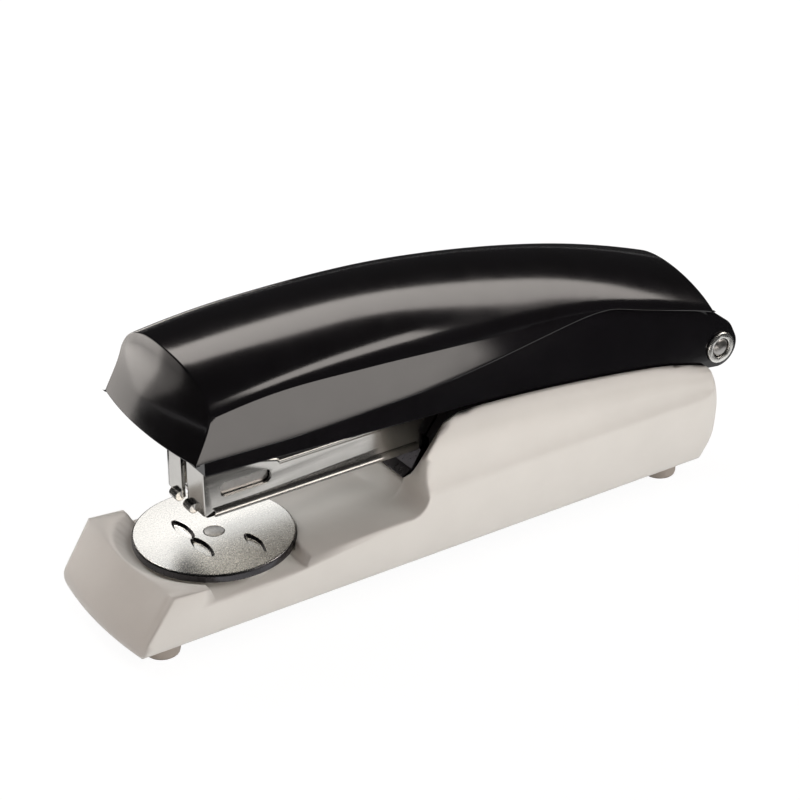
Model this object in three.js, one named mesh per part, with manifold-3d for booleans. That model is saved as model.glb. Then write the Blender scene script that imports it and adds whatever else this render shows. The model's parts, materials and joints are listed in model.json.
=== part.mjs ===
// Desk stapler with a swinging magazine and a turning anvil, in millimetres.
// X runs from the nose (-X) to the hinge (+X), Y across the stapler, Z up from the table.
// The pieces are laid out from the anvil's centre, and the whole is then centred over its length.
import * as THREE from 'three';
import { mergeVertices } from 'three/addons/utils/BufferGeometryUtils.js';
import Module from 'manifold-3d';

const wasm = await Module();
wasm.setup();

// ---------------------------------------------------------------- driving dimensions

// Clearances
const RUN = 0.3; // between pieces that rest on or slide along each other
const PIN_FIT = 0.15; // round a pin, shaft or screw in its hole

// The staple that everything at the nose is built round, a number 24/6
const STAPLE_CROWN = 12.9;
const STAPLE_LEG = 6;
const STAPLE_WIRE = 0.7;

// Feet
const FOOT_HEIGHT = 4;
const FOOT_RADIUS = 3.66;
const FOOT_CHAMFER = 0.5;
const FOOT_STEM_RADIUS = 1.6;
const FOOT_STEM_LENGTH = 3;
const FOOT_INSET = 7.6; // from the flanks to the feet's axes
const FOOT_FRONT_X = -18.3;
const FOOT_REAR_BACK = 13.2; // from the rear feet to the hinge axis

// Base moulding
const BASE_HALF_WIDTH = 18;
const BASE_WALL = 2.4;
const BASE_FRONT_X = -25.4;
const BASE_NOSE_BULGE = 1.7;
const BASE_NOSE_BLEND = 3; // length over which the bulge fades out behind the lip
const BASE_CORNER_RADIUS = 5;
const BASE_CORNER_START = 14; // where the rear corners' rounding begins, before the rear wall
const BASE_CORNER_BLEND = 10; // and the length over which it grows to its full amount
const TOE_LINE = [
  // from the front face down to the bottom edge: how far back, height above that edge, corner radius
  [0.1, 2.6, 1.1],
  [0, 0.9, 0.4],
  [0.2, 0, 0.15],
];
const REAR_LINE = [
  // from the bottom edge up the rear wall: how far forward, share of the wall's height, corner radius
  [4.6, 0, 2],
  [0.6, 0.27, 2.5],
  [0, 0.62, 2.5],
  [0.9, 0.85, 1.8],
  [2.4, 1, 1],
];
const FLANK_SECTION = [
  // half of the cross-section: how far in from the half-width, and how high above the bottom edge
  [2.7, 0],
  [1.9, 0.2],
  [1.2, 0.8],
  [0.8, 1.8],
  [0.5, 7.6],
];
const CHEEK_SECTION = [
  // and above that: how far in, and how high above the crease
  [0, -1],
  [0.2, 0],
  [0.9, 2],
  [1, 6],
  [1.3, 9],
  [2.3, 11.6],
  [3.6, 13.1],
];
const SHOULDER_RISE = 14; // from the crease to the top of the section
const BASE_REAR_BACK = 1.4; // from the rear wall to the hinge axis
const DECK_HEIGHT = 15.4;
const LIP_RISE = 1; // front lip above the deck
const LIP_X = -18.8;
const LIP_LENGTH = 8.6;
const LIP_FALL = 0.7; // along that length
const DECK_START_X = -8.8;
const DISH_RADIUS = 16.7;
const DISH_TOP_RADIUS = 20.4;
const DISH_DEPTH = 1.7;
const NOTCH_FRONT_X = -9.8;
const NOTCH_REAR_X = 11;
const NOTCH_FRONT_RAKE = 1.5;
const NOTCH_REAR_RAKE = 1.2;
const NOTCH_DEPTH = 2.7;
const PEDESTAL_RADIUS = 15.2;
const PEDESTAL_DROP = 0.8; // pedestal top below the deck
const CREASE_HEIGHT = 20.6;
const FLANK_TAPER = 1; // how much narrower the hollow is than the flanks' inner faces
const HOLLOW_FRONT = 4.8; // from the front line to the hollow
const HOLLOW_REAR = 5.8; // from the hollow to the rear wall's outer face
const RIB_THICKNESS = 1.6;
const RIB_STATIONS = [24, 54, 78, 98];

// Cheeks, the base's raised sides
const CHEEK_FRONT_X = 40;
const CHEEK_FILLET = 5;
const CHEEK_KNEE_HEIGHT = 28.9;
const CHEEK_KNEE_RADIUS = 1.5;
const CHEEK_SHOULDER = [4.5, 3.2, 2]; // behind and above the knee, and its radius
const CHEEK_CREST_X = 50;
const CHEEK_FALL_CURVE = 1.55; // power that the crest falls with along the base
const CHEEK_CREST_ABOVE_HINGE = 5.75;
const CHEEK_TAIL_BELOW_HINGE = 2.2;
const CHEEK_TAIL_DIP = 1.9; // how much further the crest dips at the rear wall
const CHEEK_TAIL_DIP_LENGTH = 16;
const CHEEK_TAIL_DIP_CURVE = 1.5; // power that it dips with
const CREST_MARGIN = 0.05; // how far the side profile is kept above the section that forms the crest
const CHEEK_INSIDE_GAP = 0.6; // between a cheek and the arm's side
const REAR_WALL_GAP = 2.4; // between the rear wall's top and the arm's ears
const MOUTH_BEVEL_HEIGHT = 24.8; // where the cheeks' inner front edges begin to lean back
const MOUTH_BEVEL_SLOPE = 1.27;
const MOUTH_BEVEL_TURN = 1.14; // how much higher the bevel cuts for each unit outwards
const MOUTH_FOOT_RISE = 0.9; // lower corner of the mouth's sides above the sill
const MOUTH_KNEE = 1.2; // their bend, outside the bracket and above the crease
const ROOM_SHOULDER = 3; // height above the crease where the channel has reached its full width
const SILL_LENGTH = 2.6;
const SILL_SET_BACK = 0.4; // behind the cheeks' front edge
const SILL_HEIGHT = 18.5;
const SILL_CORNER_RADIUS = 0.8;
const SILL_RUN = 2.6; // length of the ramp up to the sill
const WELL_FLOOR = 16;

// Anvil
const ANVIL_RADIUS = 16.5;
const ANVIL_THICKNESS = 1.2;
const ANVIL_RIM_DROP = 0.5;
const ANVIL_RIM_TAPER = 0.3;
const ANVIL_EDGE_RADIUS = 0.5;
const ANVIL_EDGE_DRAFT = 0.1;
const ANVIL_RIVET_RADIUS = 2.1;
const ANVIL_RIVET_TAIL = 0.6; // below its retainer
const PIT_WIDTH = 2.6;
const PIT_DEPTH = 0.7;
const PIT_OVERREACH = 1.6; // beyond the staple's leg
const PIT_BELLY = 2.2; // from a pit's tip to its widest place
const PIT_BELLY_RADIUS = 1.4;
const PIT_TIP_RADIUS = 0.2;
const PIT_WAIST = 0.35; // width between the pair, as a share of the pits'
const PIT_WAIST_RADIUS = 1;
const PIN_PIT_START = 4.6;
const PIN_PIT_START_RADIUS = 0.6;
const PIN_PIT_LENGTH = 9;
const PIN_PIT_SHOULDER = 0.6; // share of that length at which the pit begins to taper
const PIN_PIT_TAPER = 0.8; // share of its width left there
const WASHER_RADIUS = 5;
const WASHER_THICKNESS = 0.5;
const WASHER_CROWN = 1;
const RETAINER_RADIUS = 3.6;
const RETAINER_THICKNESS = 0.8;

// Magazine
const STEEL = 0.8; // sheet of the magazine and the staple rail
const STAPLE_PLAY = 0.2;
const CLINCH_X = -4.6; // line of the staple's crown
const THROAT = 8.6; // open height between the anvil and the magazine
const MAGAZINE_HEIGHT = 12.2;
const MAGAZINE_CORNER_RADIUS = 0.6;
const MAGAZINE_TAIL = 7; // floor ends this far before the hinge axis
const SEAM_WIDTH = 2.4;
const SEAM_OFFSET = 0.8;
const LUG_RADIUS = 1.1;
const LUG_LENGTH = 2.6;
const LUG_DROP = 0.8;
const WINDOW_START = 3.4; // behind the front plates
const WINDOW_LENGTH = 11.5;
const WINDOW_HEIGHT = 3;
const WINDOW_RISE = 3.6;
const BEAD = 0.6;
const LOWER_BEAD_START = 1; // behind the front plates
const LOWER_BEAD_HEIGHT = 1.4;
const UPPER_BEAD_HEIGHT = 1.2;
const UPPER_BEAD_RISE = 7.2;
const UPPER_BEAD_X = 11;
const BEAD_END_X = 44;
const RAIL_LENGTH = 100;
const RAIL_SLOT_WIDTH = 3;
const RAIL_SLOT_MARGIN = 5;
const STOP_LENGTH = 4;
const ROD_RADIUS = 1;
const PUSHER_LENGTH = 12;
const PUSHER_CAP = 1.8;
const PUSHER_HUB_RADIUS = 2;
const SPRING_WIRE = 0.5;
const SPRING_RADIUS = 2.1;
const SPRING_TURNS = 16;
const COIL_STEPS = 10; // segments of each turn

// Hinge
const HINGE_X = 120;
const HINGE_RISE = 3.7; // hinge axis above the magazine's floor
const HINGE_PIN_RADIUS = 2.1;
const EAR_RADIUS = 4.1; // of the magazine's and the bracket's ears
const EYELET_RADIUS = 3.7;
const EYELET_WALL = 0.5;
const EYELET_FLANGE = 0.5;
const EYELET_CHAMFER = 0.2;
const SPACER_WALL = 1;
const PIN_DOME = 0.3;
const PIN_DOME_SHOULDER = 0.7; // share of the pin's radius where its domed end has risen halfway
const HINGE_WASHER_RADIUS = 4;

// Base bracket, the steel channel between the cheeks
const BRACKET_STEEL = 1.2;
const BRACKET_HALF_WIDTH = 10;
const BRACKET_FRONT_X = 46;
const BRACKET_LUG_HEIGHT = 27.1; // underside of the turned-in lugs at the flanges' front
const BRACKET_LUG_RAKE = 4.1;
const BRACKET_LUG_LENGTH = 3;
const BRACKET_EAR_START = -60; // degrees round the hinge axis, where the ear's rounding begins
const BRACKET_SCREW_STATIONS = [64, 108];
const SCREW_RADIUS = 1.5;
const SCREW_HEAD_RADIUS = 2.8;
const SCREW_HEAD_HEIGHT = 1.8;
const SCREW_HEAD_CHAMFER = 0.5;
const SCREW_DOME = 0.2;
const SCREW_RECESS = 0.8; // head's seat below the deck's underside

// Leaf springs
const LEAF = 0.6;
const LEAF_MITRE = 0.2; // how much further a leaf's folded crest stands out
const LIFT_LEAF_HALF_WIDTH = 7.8;
const LIFT_LEAF_ANCHOR_X = 92;
const LIFT_LEAF_FOOT = 9;
const LIFT_LEAF_CREST_X = 45;
const LIFT_LEAF_KNEE_X = 42.8;
const LIFT_LEAF_KNEE_RISE = 1.2; // above the toe
const LIFT_LEAF_TOE_X = 40.4;
const HANDLE_LEAF_HALF_WIDTH = 6.9;
const HANDLE_LEAF_TIP_X = 66;
const HANDLE_LEAF_ANCHOR_X = 97;
const HANDLE_LEAF_FOOT = 9;
const HANDLE_LEAF_CURL = 3; // length of the turned-up tip
const HANDLE_LEAF_CURL_RISE = 1;
const LEAF_RIVET_RADIUS = 1.4;
const LEAF_RIVET_HEAD = 2.4;
const LEAF_RIVET_HEAD_HEIGHT = 0.8;

// Arm, the painted steel channel over the magazine
const ARM_STEEL = 1;
const ARM_HALF_WIDTH = 12.8;
const ARM_FRONT_X = -8.4;
const ARM_LIP_RISE = 12.9; // lower edge above the magazine's floor, at the nose
const ARM_EDGE_DROP = 3.4; // how far that edge has come down at the bend
const ARM_BEND_X = 55;
const ARM_TAIL_LINE = [
  // lower edge behind the bend: share of the way to the hinge, and share of the fall to the ear
  [0, 0],
  [0.4, 0.3],
  [0.75, 0.68],
];
const ARM_EAR_RADIUS = 4.7;
const ARM_EAR_LEAD = 0.6; // height above the ear's lowest point at which the lower edge meets it
const ARM_EAR_START = -100; // degrees round the hinge axis
const ARM_EAR_END = 25;
const ARM_BACK_RADIUS = 1.5;
const ARM_TAIL_RADIUS = 1;
const ARM_PLATE_SHORT = 4; // how much further forward the top plate ends than the sides
const ARM_TOP_BELOW_CROWN = 9.5;
const ARM_TOP_STEP = 0.9; // how much closer to the crown the top runs behind the cover's sides
const ARM_TOP_STEP_START = 81;
const ARM_TOP_STEP_END = 88;
const ARM_TOP_END_BACK = 12; // from the top plate's end to the hinge axis
const ARM_TAIL_BACK = 2.9; // from the ear's shoulder to the hinge axis
const ARM_TAIL_RISE = 9.6; // top of the ear's shoulder above the hinge axis
const ARM_BACK = 2.6; // the shoulder's rear corner behind the hinge axis
const ARM_BACK_RISE = 5.3; // and above it

// Driver
const DRIVER_THICKNESS = 0.6;
const DRIVER_GAP = 0.45; // between the front plates and the blade's tip
const DRIVER_LEAN = 0.75; // how far the blade's head stands back from its tip
const DRIVER_TIP_ABOVE_STAPLE = 0.7;
const DRIVER_HEAD_DROP = 0.8; // from the top of its mount to the blade's head
const MOUNT_THICKNESS = 1.2;
const MOUNT_HEIGHT = 9;
const MOUNT_FOOT = 9;
const MOUNT_HALF_WIDTH = 5.6;
const DRIVER_RIVET_SPREAD = 3.4;
const DRIVER_RIVET_DROP = 3; // below the blade's head
const DRIVER_RIVET_RADIUS = 1.2;
const DRIVER_RIVET_HEAD = 1.9;
const DRIVER_RIVET_HEAD_HEIGHT = 0.6;

// Cover, the moulded cap on the arm
const COVER_WALL = 1.5;
const COVER_HALF_WIDTH = 17.6; // at the creases
const COVER_NARROWING_START = 36;
const COVER_NARROWING_END = 90;
const COVER_EDGE_ABOVE_ARM = 6.3; // lower edge above the arm's, at the nose
const COVER_CROWN_ABOVE_HINGE = 34.7;
const COVER_CROWN_X = 26.5;
const COVER_FRONT_RADIUS = 290; // of the crown line, before its peak and behind it
const COVER_REAR_RADIUS = 240;
const COVER_DROPS = [
  // from the crown to the creases: station, and how far down
  [-16, 8.4],
  [4, 8.3],
  [26, 9.9],
  [48, 10.6],
  [66, 10.3],
  [88, 8.4],
  [120, 7.8],
];
const COVER_ARC_FULLNESS = 0.985; // half-width of the arch over its radius
const COVER_DRAFT = 0.055; // how far the sides spread for each unit down
const COVER_NOSE_X = -13.3;
const COVER_NOSE_CREASE = 3.7; // how far the nose leans back up to the creases
const COVER_NOSE_TOP = 5.6; // and up to the crown
const COVER_NOSE_BULGE = 1.7;
const COVER_REAR_BACK = 3.6; // from the rear rim's foot to the hinge axis
const COVER_REAR_FALL = 5.3; // that foot below the nose's corner
const COVER_REAR_LEAN = 0.48; // of the rear rim, forward for each unit up
const COVER_EDGE_LINE = [
  // lower edge from the nose to the rear rim: how far before the hinge, and how far above the nose's corner
  [124, -0.2],
  [110, -0.5],
  [90, 0],
  [74, 0.7],
  [62, 1.5],
  [50, 2.5],
  [38, 3.4],
  [32, 3.1],
  [24, 0.8],
  [15.5, -1.7],
  [9, -3.6],
];
const COVER_RIB_FRONT_X = 12;
const COVER_RIB_AHEAD = 8.5; // of the rear rib, before the handle spring's rivet
const COVER_RIB_HALF_WIDTH = 10;

// Smoothness
const ROUND = 48; // sides of a large circle
const SMALL_ROUND = 24; // sides of a pin or a screw
const LENGTHWISE = 30; // stations along the arched shells
const CROSSWISE = 24; // stations across a bulged face
const EAR_ROUND = 14; // sides of an ear's arc
const CURVE_STEPS = 12; // segments of a drawn curve
const OVERCUT = 1; // how far a cutting shape runs past the face it cuts

// ---------------------------------------------------------------- heights that follow

const BASE_BOTTOM = FOOT_HEIGHT;
const PEDESTAL_TOP = DECK_HEIGHT - PEDESTAL_DROP;
const ANVIL_BOTTOM = PEDESTAL_TOP + RUN;
const ANVIL_TOP = ANVIL_BOTTOM + ANVIL_THICKNESS;
const MAGAZINE_BOTTOM = ANVIL_TOP + THROAT;
const MAGAZINE_FLOOR = MAGAZINE_BOTTOM + STEEL;
const HINGE_Z = MAGAZINE_BOTTOM + HINGE_RISE;
const RAIL_BOTTOM = MAGAZINE_FLOOR + RUN;
const RAIL_TOP = RAIL_BOTTOM + STAPLE_LEG - STAPLE_WIRE;
const CROWN_PEAK = HINGE_Z + COVER_CROWN_ABOVE_HINGE;
const ARM_LIP = MAGAZINE_BOTTOM + ARM_LIP_RISE;
const COVER_EDGE = ARM_LIP + COVER_EDGE_ABOVE_ARM;

// ---------------------------------------------------------------- widths and places that follow

const MAGAZINE_HALF_WIDTH = STAPLE_CROWN / 2 + STAPLE_PLAY + STEEL;
const RAIL_HALF_WIDTH = STAPLE_CROWN / 2 - STAPLE_WIRE;
const PLATE_BACK_X = CLINCH_X - RUN;
const PLATE_FRONT_X = PLATE_BACK_X - STEEL;
const DRIVER_FRONT_X = PLATE_BACK_X + DRIVER_GAP;
const DRIVER_BACK_X = DRIVER_FRONT_X + DRIVER_THICKNESS;
const RAIL_FRONT_X = DRIVER_BACK_X + RUN + STAPLE_PLAY;
const RAIL_REAR_X = RAIL_FRONT_X + RAIL_LENGTH;
const BASE_REAR_X = HINGE_X - BASE_REAR_BACK;
const CHEEK_INSIDE = ARM_HALF_WIDTH + CHEEK_INSIDE_GAP;
const FOOT_REAR_X = HINGE_X - FOOT_REAR_BACK;
const FOOT_SPREAD = BASE_HALF_WIDTH - FOOT_INSET;
const ROD_Z = (RAIL_BOTTOM + RAIL_TOP - STEEL) / 2;
const COVER_REAR_HALF_WIDTH = ARM_HALF_WIDTH + RUN + COVER_WALL;
const COVER_REAR_X = HINGE_X - COVER_REAR_BACK;
const ARM_TOP_END_X = HINGE_X - ARM_TOP_END_BACK;
const ARM_TAIL_X = HINGE_X - ARM_TAIL_BACK;
const COVER_EDGE_POINTS = COVER_EDGE_LINE.map(([before, rise]) => [HINGE_X - before, COVER_EDGE + rise]);
const LIFT_RIVET_X = LIFT_LEAF_ANCHOR_X - LIFT_LEAF_FOOT / 2;
const HANDLE_RIVET_X = HANDLE_LEAF_ANCHOR_X - HANDLE_LEAF_FOOT / 2;
const DECK_UNDERSIDE = DECK_HEIGHT - NOTCH_DEPTH - BASE_WALL;
const SCREW_SEAT = DECK_UNDERSIDE - SCREW_RECESS;

// ---------------------------------------------------------------- shape helpers

// A closed outline through points [x, y]; a third number rounds that corner by its radius.
function outline(points) {
  const shape = new THREE.Shape();
  const corner = (i) => new THREE.Vector2(...points[(i + points.length) % points.length]);
  points.forEach(([x, y, radius = 0], i) => {
    const here = new THREE.Vector2(x, y);
    const before = corner(i - 1).sub(here).setLength(radius).add(here);
    const after = corner(i + 1).sub(here).setLength(radius).add(here);
    if (i === 0) shape.moveTo(before.x, before.y);
    else shape.lineTo(before.x, before.y);
    if (radius > 0) shape.quadraticCurveTo(x, y, after.x, after.y);
  });
  return shape;
}

// Points [x, y] along a smooth curve through the given ones.
function smooth(points, count) {
  const curve = new THREE.SplineCurve(points.map(([x, y]) => new THREE.Vector2(x, y)));
  return curve.getPoints(count).map((p) => [p.x, p.y]);
}

// Points of an arc round a centre, between two angles in degrees.
function arc(x, y, radius, from, to, count) {
  return Array.from({ length: count + 1 }, (_, i) => {
    const angle = THREE.MathUtils.degToRad(from + ((to - from) * i) / count);
    return [x + radius * Math.cos(angle), y + radius * Math.sin(angle)];
  });
}

function extrude(shape, depth, steps = 1) {
  return new THREE.ExtrudeGeometry(shape, { depth, steps, bevelEnabled: false, curveSegments: 6 });
}

// An outline in the XZ plane, made solid from y0 to y1.
function acrossY(shape, y0, y1, steps = 1) {
  return extrude(shape, y1 - y0, steps).rotateX(Math.PI / 2).translate(0, y1, 0);
}

// An outline in the YZ plane, made solid from x0 to x1.
function alongX(shape, x0, x1, steps = 1) {
  const turn = new THREE.Matrix4().makeBasis(
    new THREE.Vector3(0, 1, 0),
    new THREE.Vector3(0, 0, 1),
    new THREE.Vector3(1, 0, 0),
  );
  return extrude(shape, x1 - x0, steps).applyMatrix4(turn).translate(x0, 0, 0);
}

// An outline in the XY plane, made solid from z0 to z1.
function upZ(shape, z0, z1) {
  return extrude(shape, z1 - z0).translate(0, 0, z0);
}

function block(x0, x1, y0, y1, z0, z1) {
  const box = new THREE.BoxGeometry(x1 - x0, y1 - y0, z1 - z0);
  return box.translate((x0 + x1) / 2, (y0 + y1) / 2, (z0 + z1) / 2);
}

// A solid of revolution about a vertical axis; profile holds [radius, height] going up.
function turned(profile, x = 0, y = 0, sides = ROUND) {
  const points = profile.map(([r, z]) => new THREE.Vector2(r, z));
  return new THREE.LatheGeometry(points, sides).rotateX(Math.PI / 2).translate(x, y, 0);
}

// The same about an axis along Y, through x and z; profile holds [radius, y].
function turnedAcross(profile, x, z, sides = SMALL_ROUND) {
  const points = profile.map(([r, y]) => new THREE.Vector2(r, y));
  return new THREE.LatheGeometry(points, sides).translate(x, 0, z);
}

function disc(radius, z0, z1, x = 0, y = 0, sides = ROUND) {
  return turned([[0, z0], [radius, z0], [radius, z1], [0, z1]], x, y, sides);
}

// Points [x, height(x)] at even steps from x0 to x1.
function along(x0, x1, height) {
  return Array.from({ length: CURVE_STEPS + 1 }, (_, i) => {
    const x = x0 + ((x1 - x0) * i) / CURVE_STEPS;
    return [x, height(x)];
  });
}

// Half of a section, going up its right side, completed with its mirror image.
function mirrored(half) {
  return [...half, ...half.map(([y, z]) => [-y, z]).reverse()];
}

// The stretch of y between an inner and an outer width, on one side of the stapler.
function across(side, inner, outer) {
  return side > 0 ? [inner, outer] : [-outer, -inner];
}

// A ring's profile, closed on itself.
function closed(profile) {
  return [...profile, profile[0]];
}

// The outline of a strip of sheet whose lower face follows the given points, from right to left.
function ribbon(points, thickness) {
  const line = points.map(([x, y]) => new THREE.Vector2(x, y));
  const upper = line.map((here, i) => {
    const before = line[Math.max(i - 1, 0)];
    const after = line[Math.min(i + 1, line.length - 1)];
    const incoming = here.clone().sub(before).normalize();
    const outgoing = after.clone().sub(here).normalize();
    const along = incoming.clone().add(outgoing).normalize();
    const cosine = along.dot(i === 0 ? outgoing : incoming);
    return [here.x + (along.y * thickness) / cosine, here.y - (along.x * thickness) / cosine];
  });
  return outline([...points, ...upper.reverse()]);
}

function barrel(radius, y0, y1, x, z, sides = SMALL_ROUND) {
  return turnedAcross([[0, y0], [radius, y0], [radius, y1], [0, y1]], x, z, sides);
}

function rodAlongX(radius, x0, x1, y, z, sides = SMALL_ROUND) {
  const rod = new THREE.CylinderGeometry(radius, radius, x1 - x0, sides);
  return rod.rotateZ(Math.PI / 2).translate((x0 + x1) / 2, y, z);
}

// Moves every vertex of a geometry to where the given function says.
function warp(geometry, move) {
  const place = geometry.getAttribute('position');
  for (let i = 0; i < place.count; i += 1) {
    place.setXYZ(i, ...move(place.getX(i), place.getY(i), place.getZ(i)));
  }
  return geometry;
}

// ---------------------------------------------------------------- booleans

function toSolid(geometry) {
  const bare = geometry.clone();
  bare.deleteAttribute('normal');
  bare.deleteAttribute('uv');
  const merged = mergeVertices(bare, 1e-4);
  const vertProperties = new Float32Array(merged.getAttribute('position').array);
  const triVerts = new Uint32Array(merged.getIndex().array);
  return new wasm.Manifold(new wasm.Mesh({ numProp: 3, vertProperties, triVerts }));
}

function toGeometry(solid) {
  const mesh = solid.getMesh();
  const geometry = new THREE.BufferGeometry();
  geometry.setAttribute('position', new THREE.Float32BufferAttribute(mesh.vertProperties, 3));
  geometry.setIndex(new THREE.Uint32BufferAttribute(mesh.triVerts, 1));
  return geometry;
}

function join(...geometries) {
  return toGeometry(geometries.map(toSolid).reduce((all, one) => all.add(one)));
}

function cut(geometry, ...tools) {
  return toGeometry(tools.map(toSolid).reduce((left, tool) => left.subtract(tool), toSolid(geometry)));
}

function common(one, other) {
  return toGeometry(toSolid(one).intersect(toSolid(other)));
}

// ---------------------------------------------------------------- materials

const ABS_GREY = { color: 0xd9d7d0, roughness: 0.45, metalness: 0 };
const GLOSS_BLACK = { color: 0x0b0b0d, roughness: 0.15, metalness: 0 };
const PAINTED_STEEL = { color: 0x101012, roughness: 0.4, metalness: 0.1 };
const CHROME = { color: 0xd0d2d4, roughness: 0.12, metalness: 1 };
const BLACKENED_STEEL = { color: 0x2c2d30, roughness: 0.4, metalness: 0.8 };
const SPRING_STEEL = { color: 0x77797c, roughness: 0.3, metalness: 1 };
const ZINC = { color: 0xa9abad, roughness: 0.35, metalness: 1 };
const NYLON = { color: 0x3a3a3a, roughness: 0.6, metalness: 0 };

const stapler = new THREE.Group();

function piece(name, geometry, finish) {
  const mesh = new THREE.Mesh(geometry, new THREE.MeshStandardMaterial(finish));
  mesh.name = name;
  stapler.add(mesh);
}

// ---------------------------------------------------------------- base moulding

// Height of the cheeks' top edge at a station along the base.
function cheekTop(x) {
  const along = THREE.MathUtils.clamp((x - CHEEK_CREST_X) / (BASE_REAR_X - CHEEK_CREST_X), 0, 1);
  const fall = CHEEK_CREST_ABOVE_HINGE + CHEEK_TAIL_BELOW_HINGE;
  const dipping = THREE.MathUtils.clamp((x - BASE_REAR_X) / CHEEK_TAIL_DIP_LENGTH + 1, 0, 1);
  const dip = CHEEK_TAIL_DIP * dipping ** CHEEK_TAIL_DIP_CURVE;
  return HINGE_Z + CHEEK_CREST_ABOVE_HINGE - fall * along ** CHEEK_FALL_CURVE - dip;
}

// How far a face that is bowed across its width stands out at y.
function bow(y, bulge, halfWidth) {
  return bulge * Math.max(0, 1 - (y / halfWidth) ** 2);
}

function baseSideProfile() {
  const lip = DECK_HEIGHT + LIP_RISE;
  const crest = (x) => cheekTop(x) + CREST_MARGIN;
  const [crestCorner] = REAR_LINE.at(-1);
  const tail = crest(BASE_REAR_X - crestCorner);
  const rearWall = REAR_LINE.map(([forward, share, radius]) =>
    [BASE_REAR_X - forward, THREE.MathUtils.lerp(BASE_BOTTOM, tail, share), radius]);
  const crestEnd = BASE_REAR_X - 2 * crestCorner;
  const toe = TOE_LINE.map(([back, rise, radius]) => [BASE_FRONT_X + back, BASE_BOTTOM + rise, radius]);
  const [shoulderBack, shoulderRise, shoulderRadius] = CHEEK_SHOULDER;
  return outline([
    ...rearWall,
    ...along(crestEnd, CHEEK_CREST_X, crest),
    [CHEEK_FRONT_X + shoulderBack, CHEEK_KNEE_HEIGHT + shoulderRise, shoulderRadius],
    [CHEEK_FRONT_X, CHEEK_KNEE_HEIGHT, CHEEK_KNEE_RADIUS],
    [CHEEK_FRONT_X, DECK_HEIGHT, CHEEK_FILLET],
    [DECK_START_X, DECK_HEIGHT],
    [LIP_X + LIP_LENGTH, lip - LIP_FALL],
    [LIP_X, lip],
    ...toe,
  ]);
}

function baseOuter() {
  const width = BASE_HALF_WIDTH;
  const sides = acrossY(baseSideProfile(), -width, width, CROSSWISE + CURVE_STEPS);
  const cornerStart = width - BASE_CORNER_RADIUS;
  warp(sides, (x, y, z) => {
    const intoCorner = Math.max(0, Math.abs(y) - cornerStart) / BASE_CORNER_RADIUS;
    const roundOff = BASE_CORNER_RADIUS * (1 - Math.sqrt(Math.max(0, 1 - intoCorner ** 2)));
    const atFront = THREE.MathUtils.clamp((LIP_X - x) / BASE_NOSE_BLEND + 1, 0, 1);
    const atRear = THREE.MathUtils.clamp((x - BASE_REAR_X + BASE_CORNER_START) / BASE_CORNER_BLEND, 0, 1);
    return [x - bow(y, BASE_NOSE_BULGE, width) * atFront - roundOff * atRear, y, z];
  });
  const shoulder = CREASE_HEIGHT + SHOULDER_RISE;
  const half = [
    ...FLANK_SECTION.map(([inwards, rise]) => [width - inwards, BASE_BOTTOM + rise]),
    ...CHEEK_SECTION.map(([inwards, rise]) => [width - inwards, CREASE_HEIGHT + rise]),
    [CHEEK_INSIDE, shoulder],
  ];
  const reach = BASE_NOSE_BULGE + OVERCUT;
  const section = alongX(outline(mirrored(half)), BASE_FRONT_X - reach, BASE_REAR_X + reach, LENGTHWISE);
  warp(section, (x, y, z) => {
    const above = Math.max(0, z - CREASE_HEIGHT) / SHOULDER_RISE;
    const sink = Math.max(0, shoulder - cheekTop(x));
    return [x, y, z - sink * above];
  });
  return common(sides, section);
}

// The recess that the anvil sits in: a dish that widens upwards in front, and an upright wall behind.
function anvilRecess() {
  const floor = DECK_HEIGHT - DISH_DEPTH;
  const well = turned([
    [0, floor],
    [DISH_RADIUS, floor],
    [DISH_TOP_RADIUS, DECK_HEIGHT + LIP_RISE + RUN],
    [DISH_TOP_RADIUS, HINGE_Z],
    [0, HINGE_Z],
  ]);
  const front = block(BASE_FRONT_X - BASE_NOSE_BULGE, 0, -BASE_HALF_WIDTH, BASE_HALF_WIDTH, 0, HINGE_Z);
  const behind = disc(DISH_RADIUS, floor, HINGE_Z);
  return join(common(well, front), behind);
}

function thumbNotch() {
  const floor = DECK_HEIGHT - NOTCH_DEPTH;
  const wide = BASE_HALF_WIDTH + OVERCUT;
  const gap = outline([
    [NOTCH_FRONT_X, floor],
    [NOTCH_REAR_X, floor],
    [NOTCH_REAR_X + NOTCH_REAR_RAKE, DECK_HEIGHT + LIP_RISE],
    [NOTCH_FRONT_X - NOTCH_FRONT_RAKE, DECK_HEIGHT + LIP_RISE],
  ]);
  return cut(acrossY(gap, -wide, wide), disc(PEDESTAL_RADIUS, 0, HINGE_Z));
}

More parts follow.
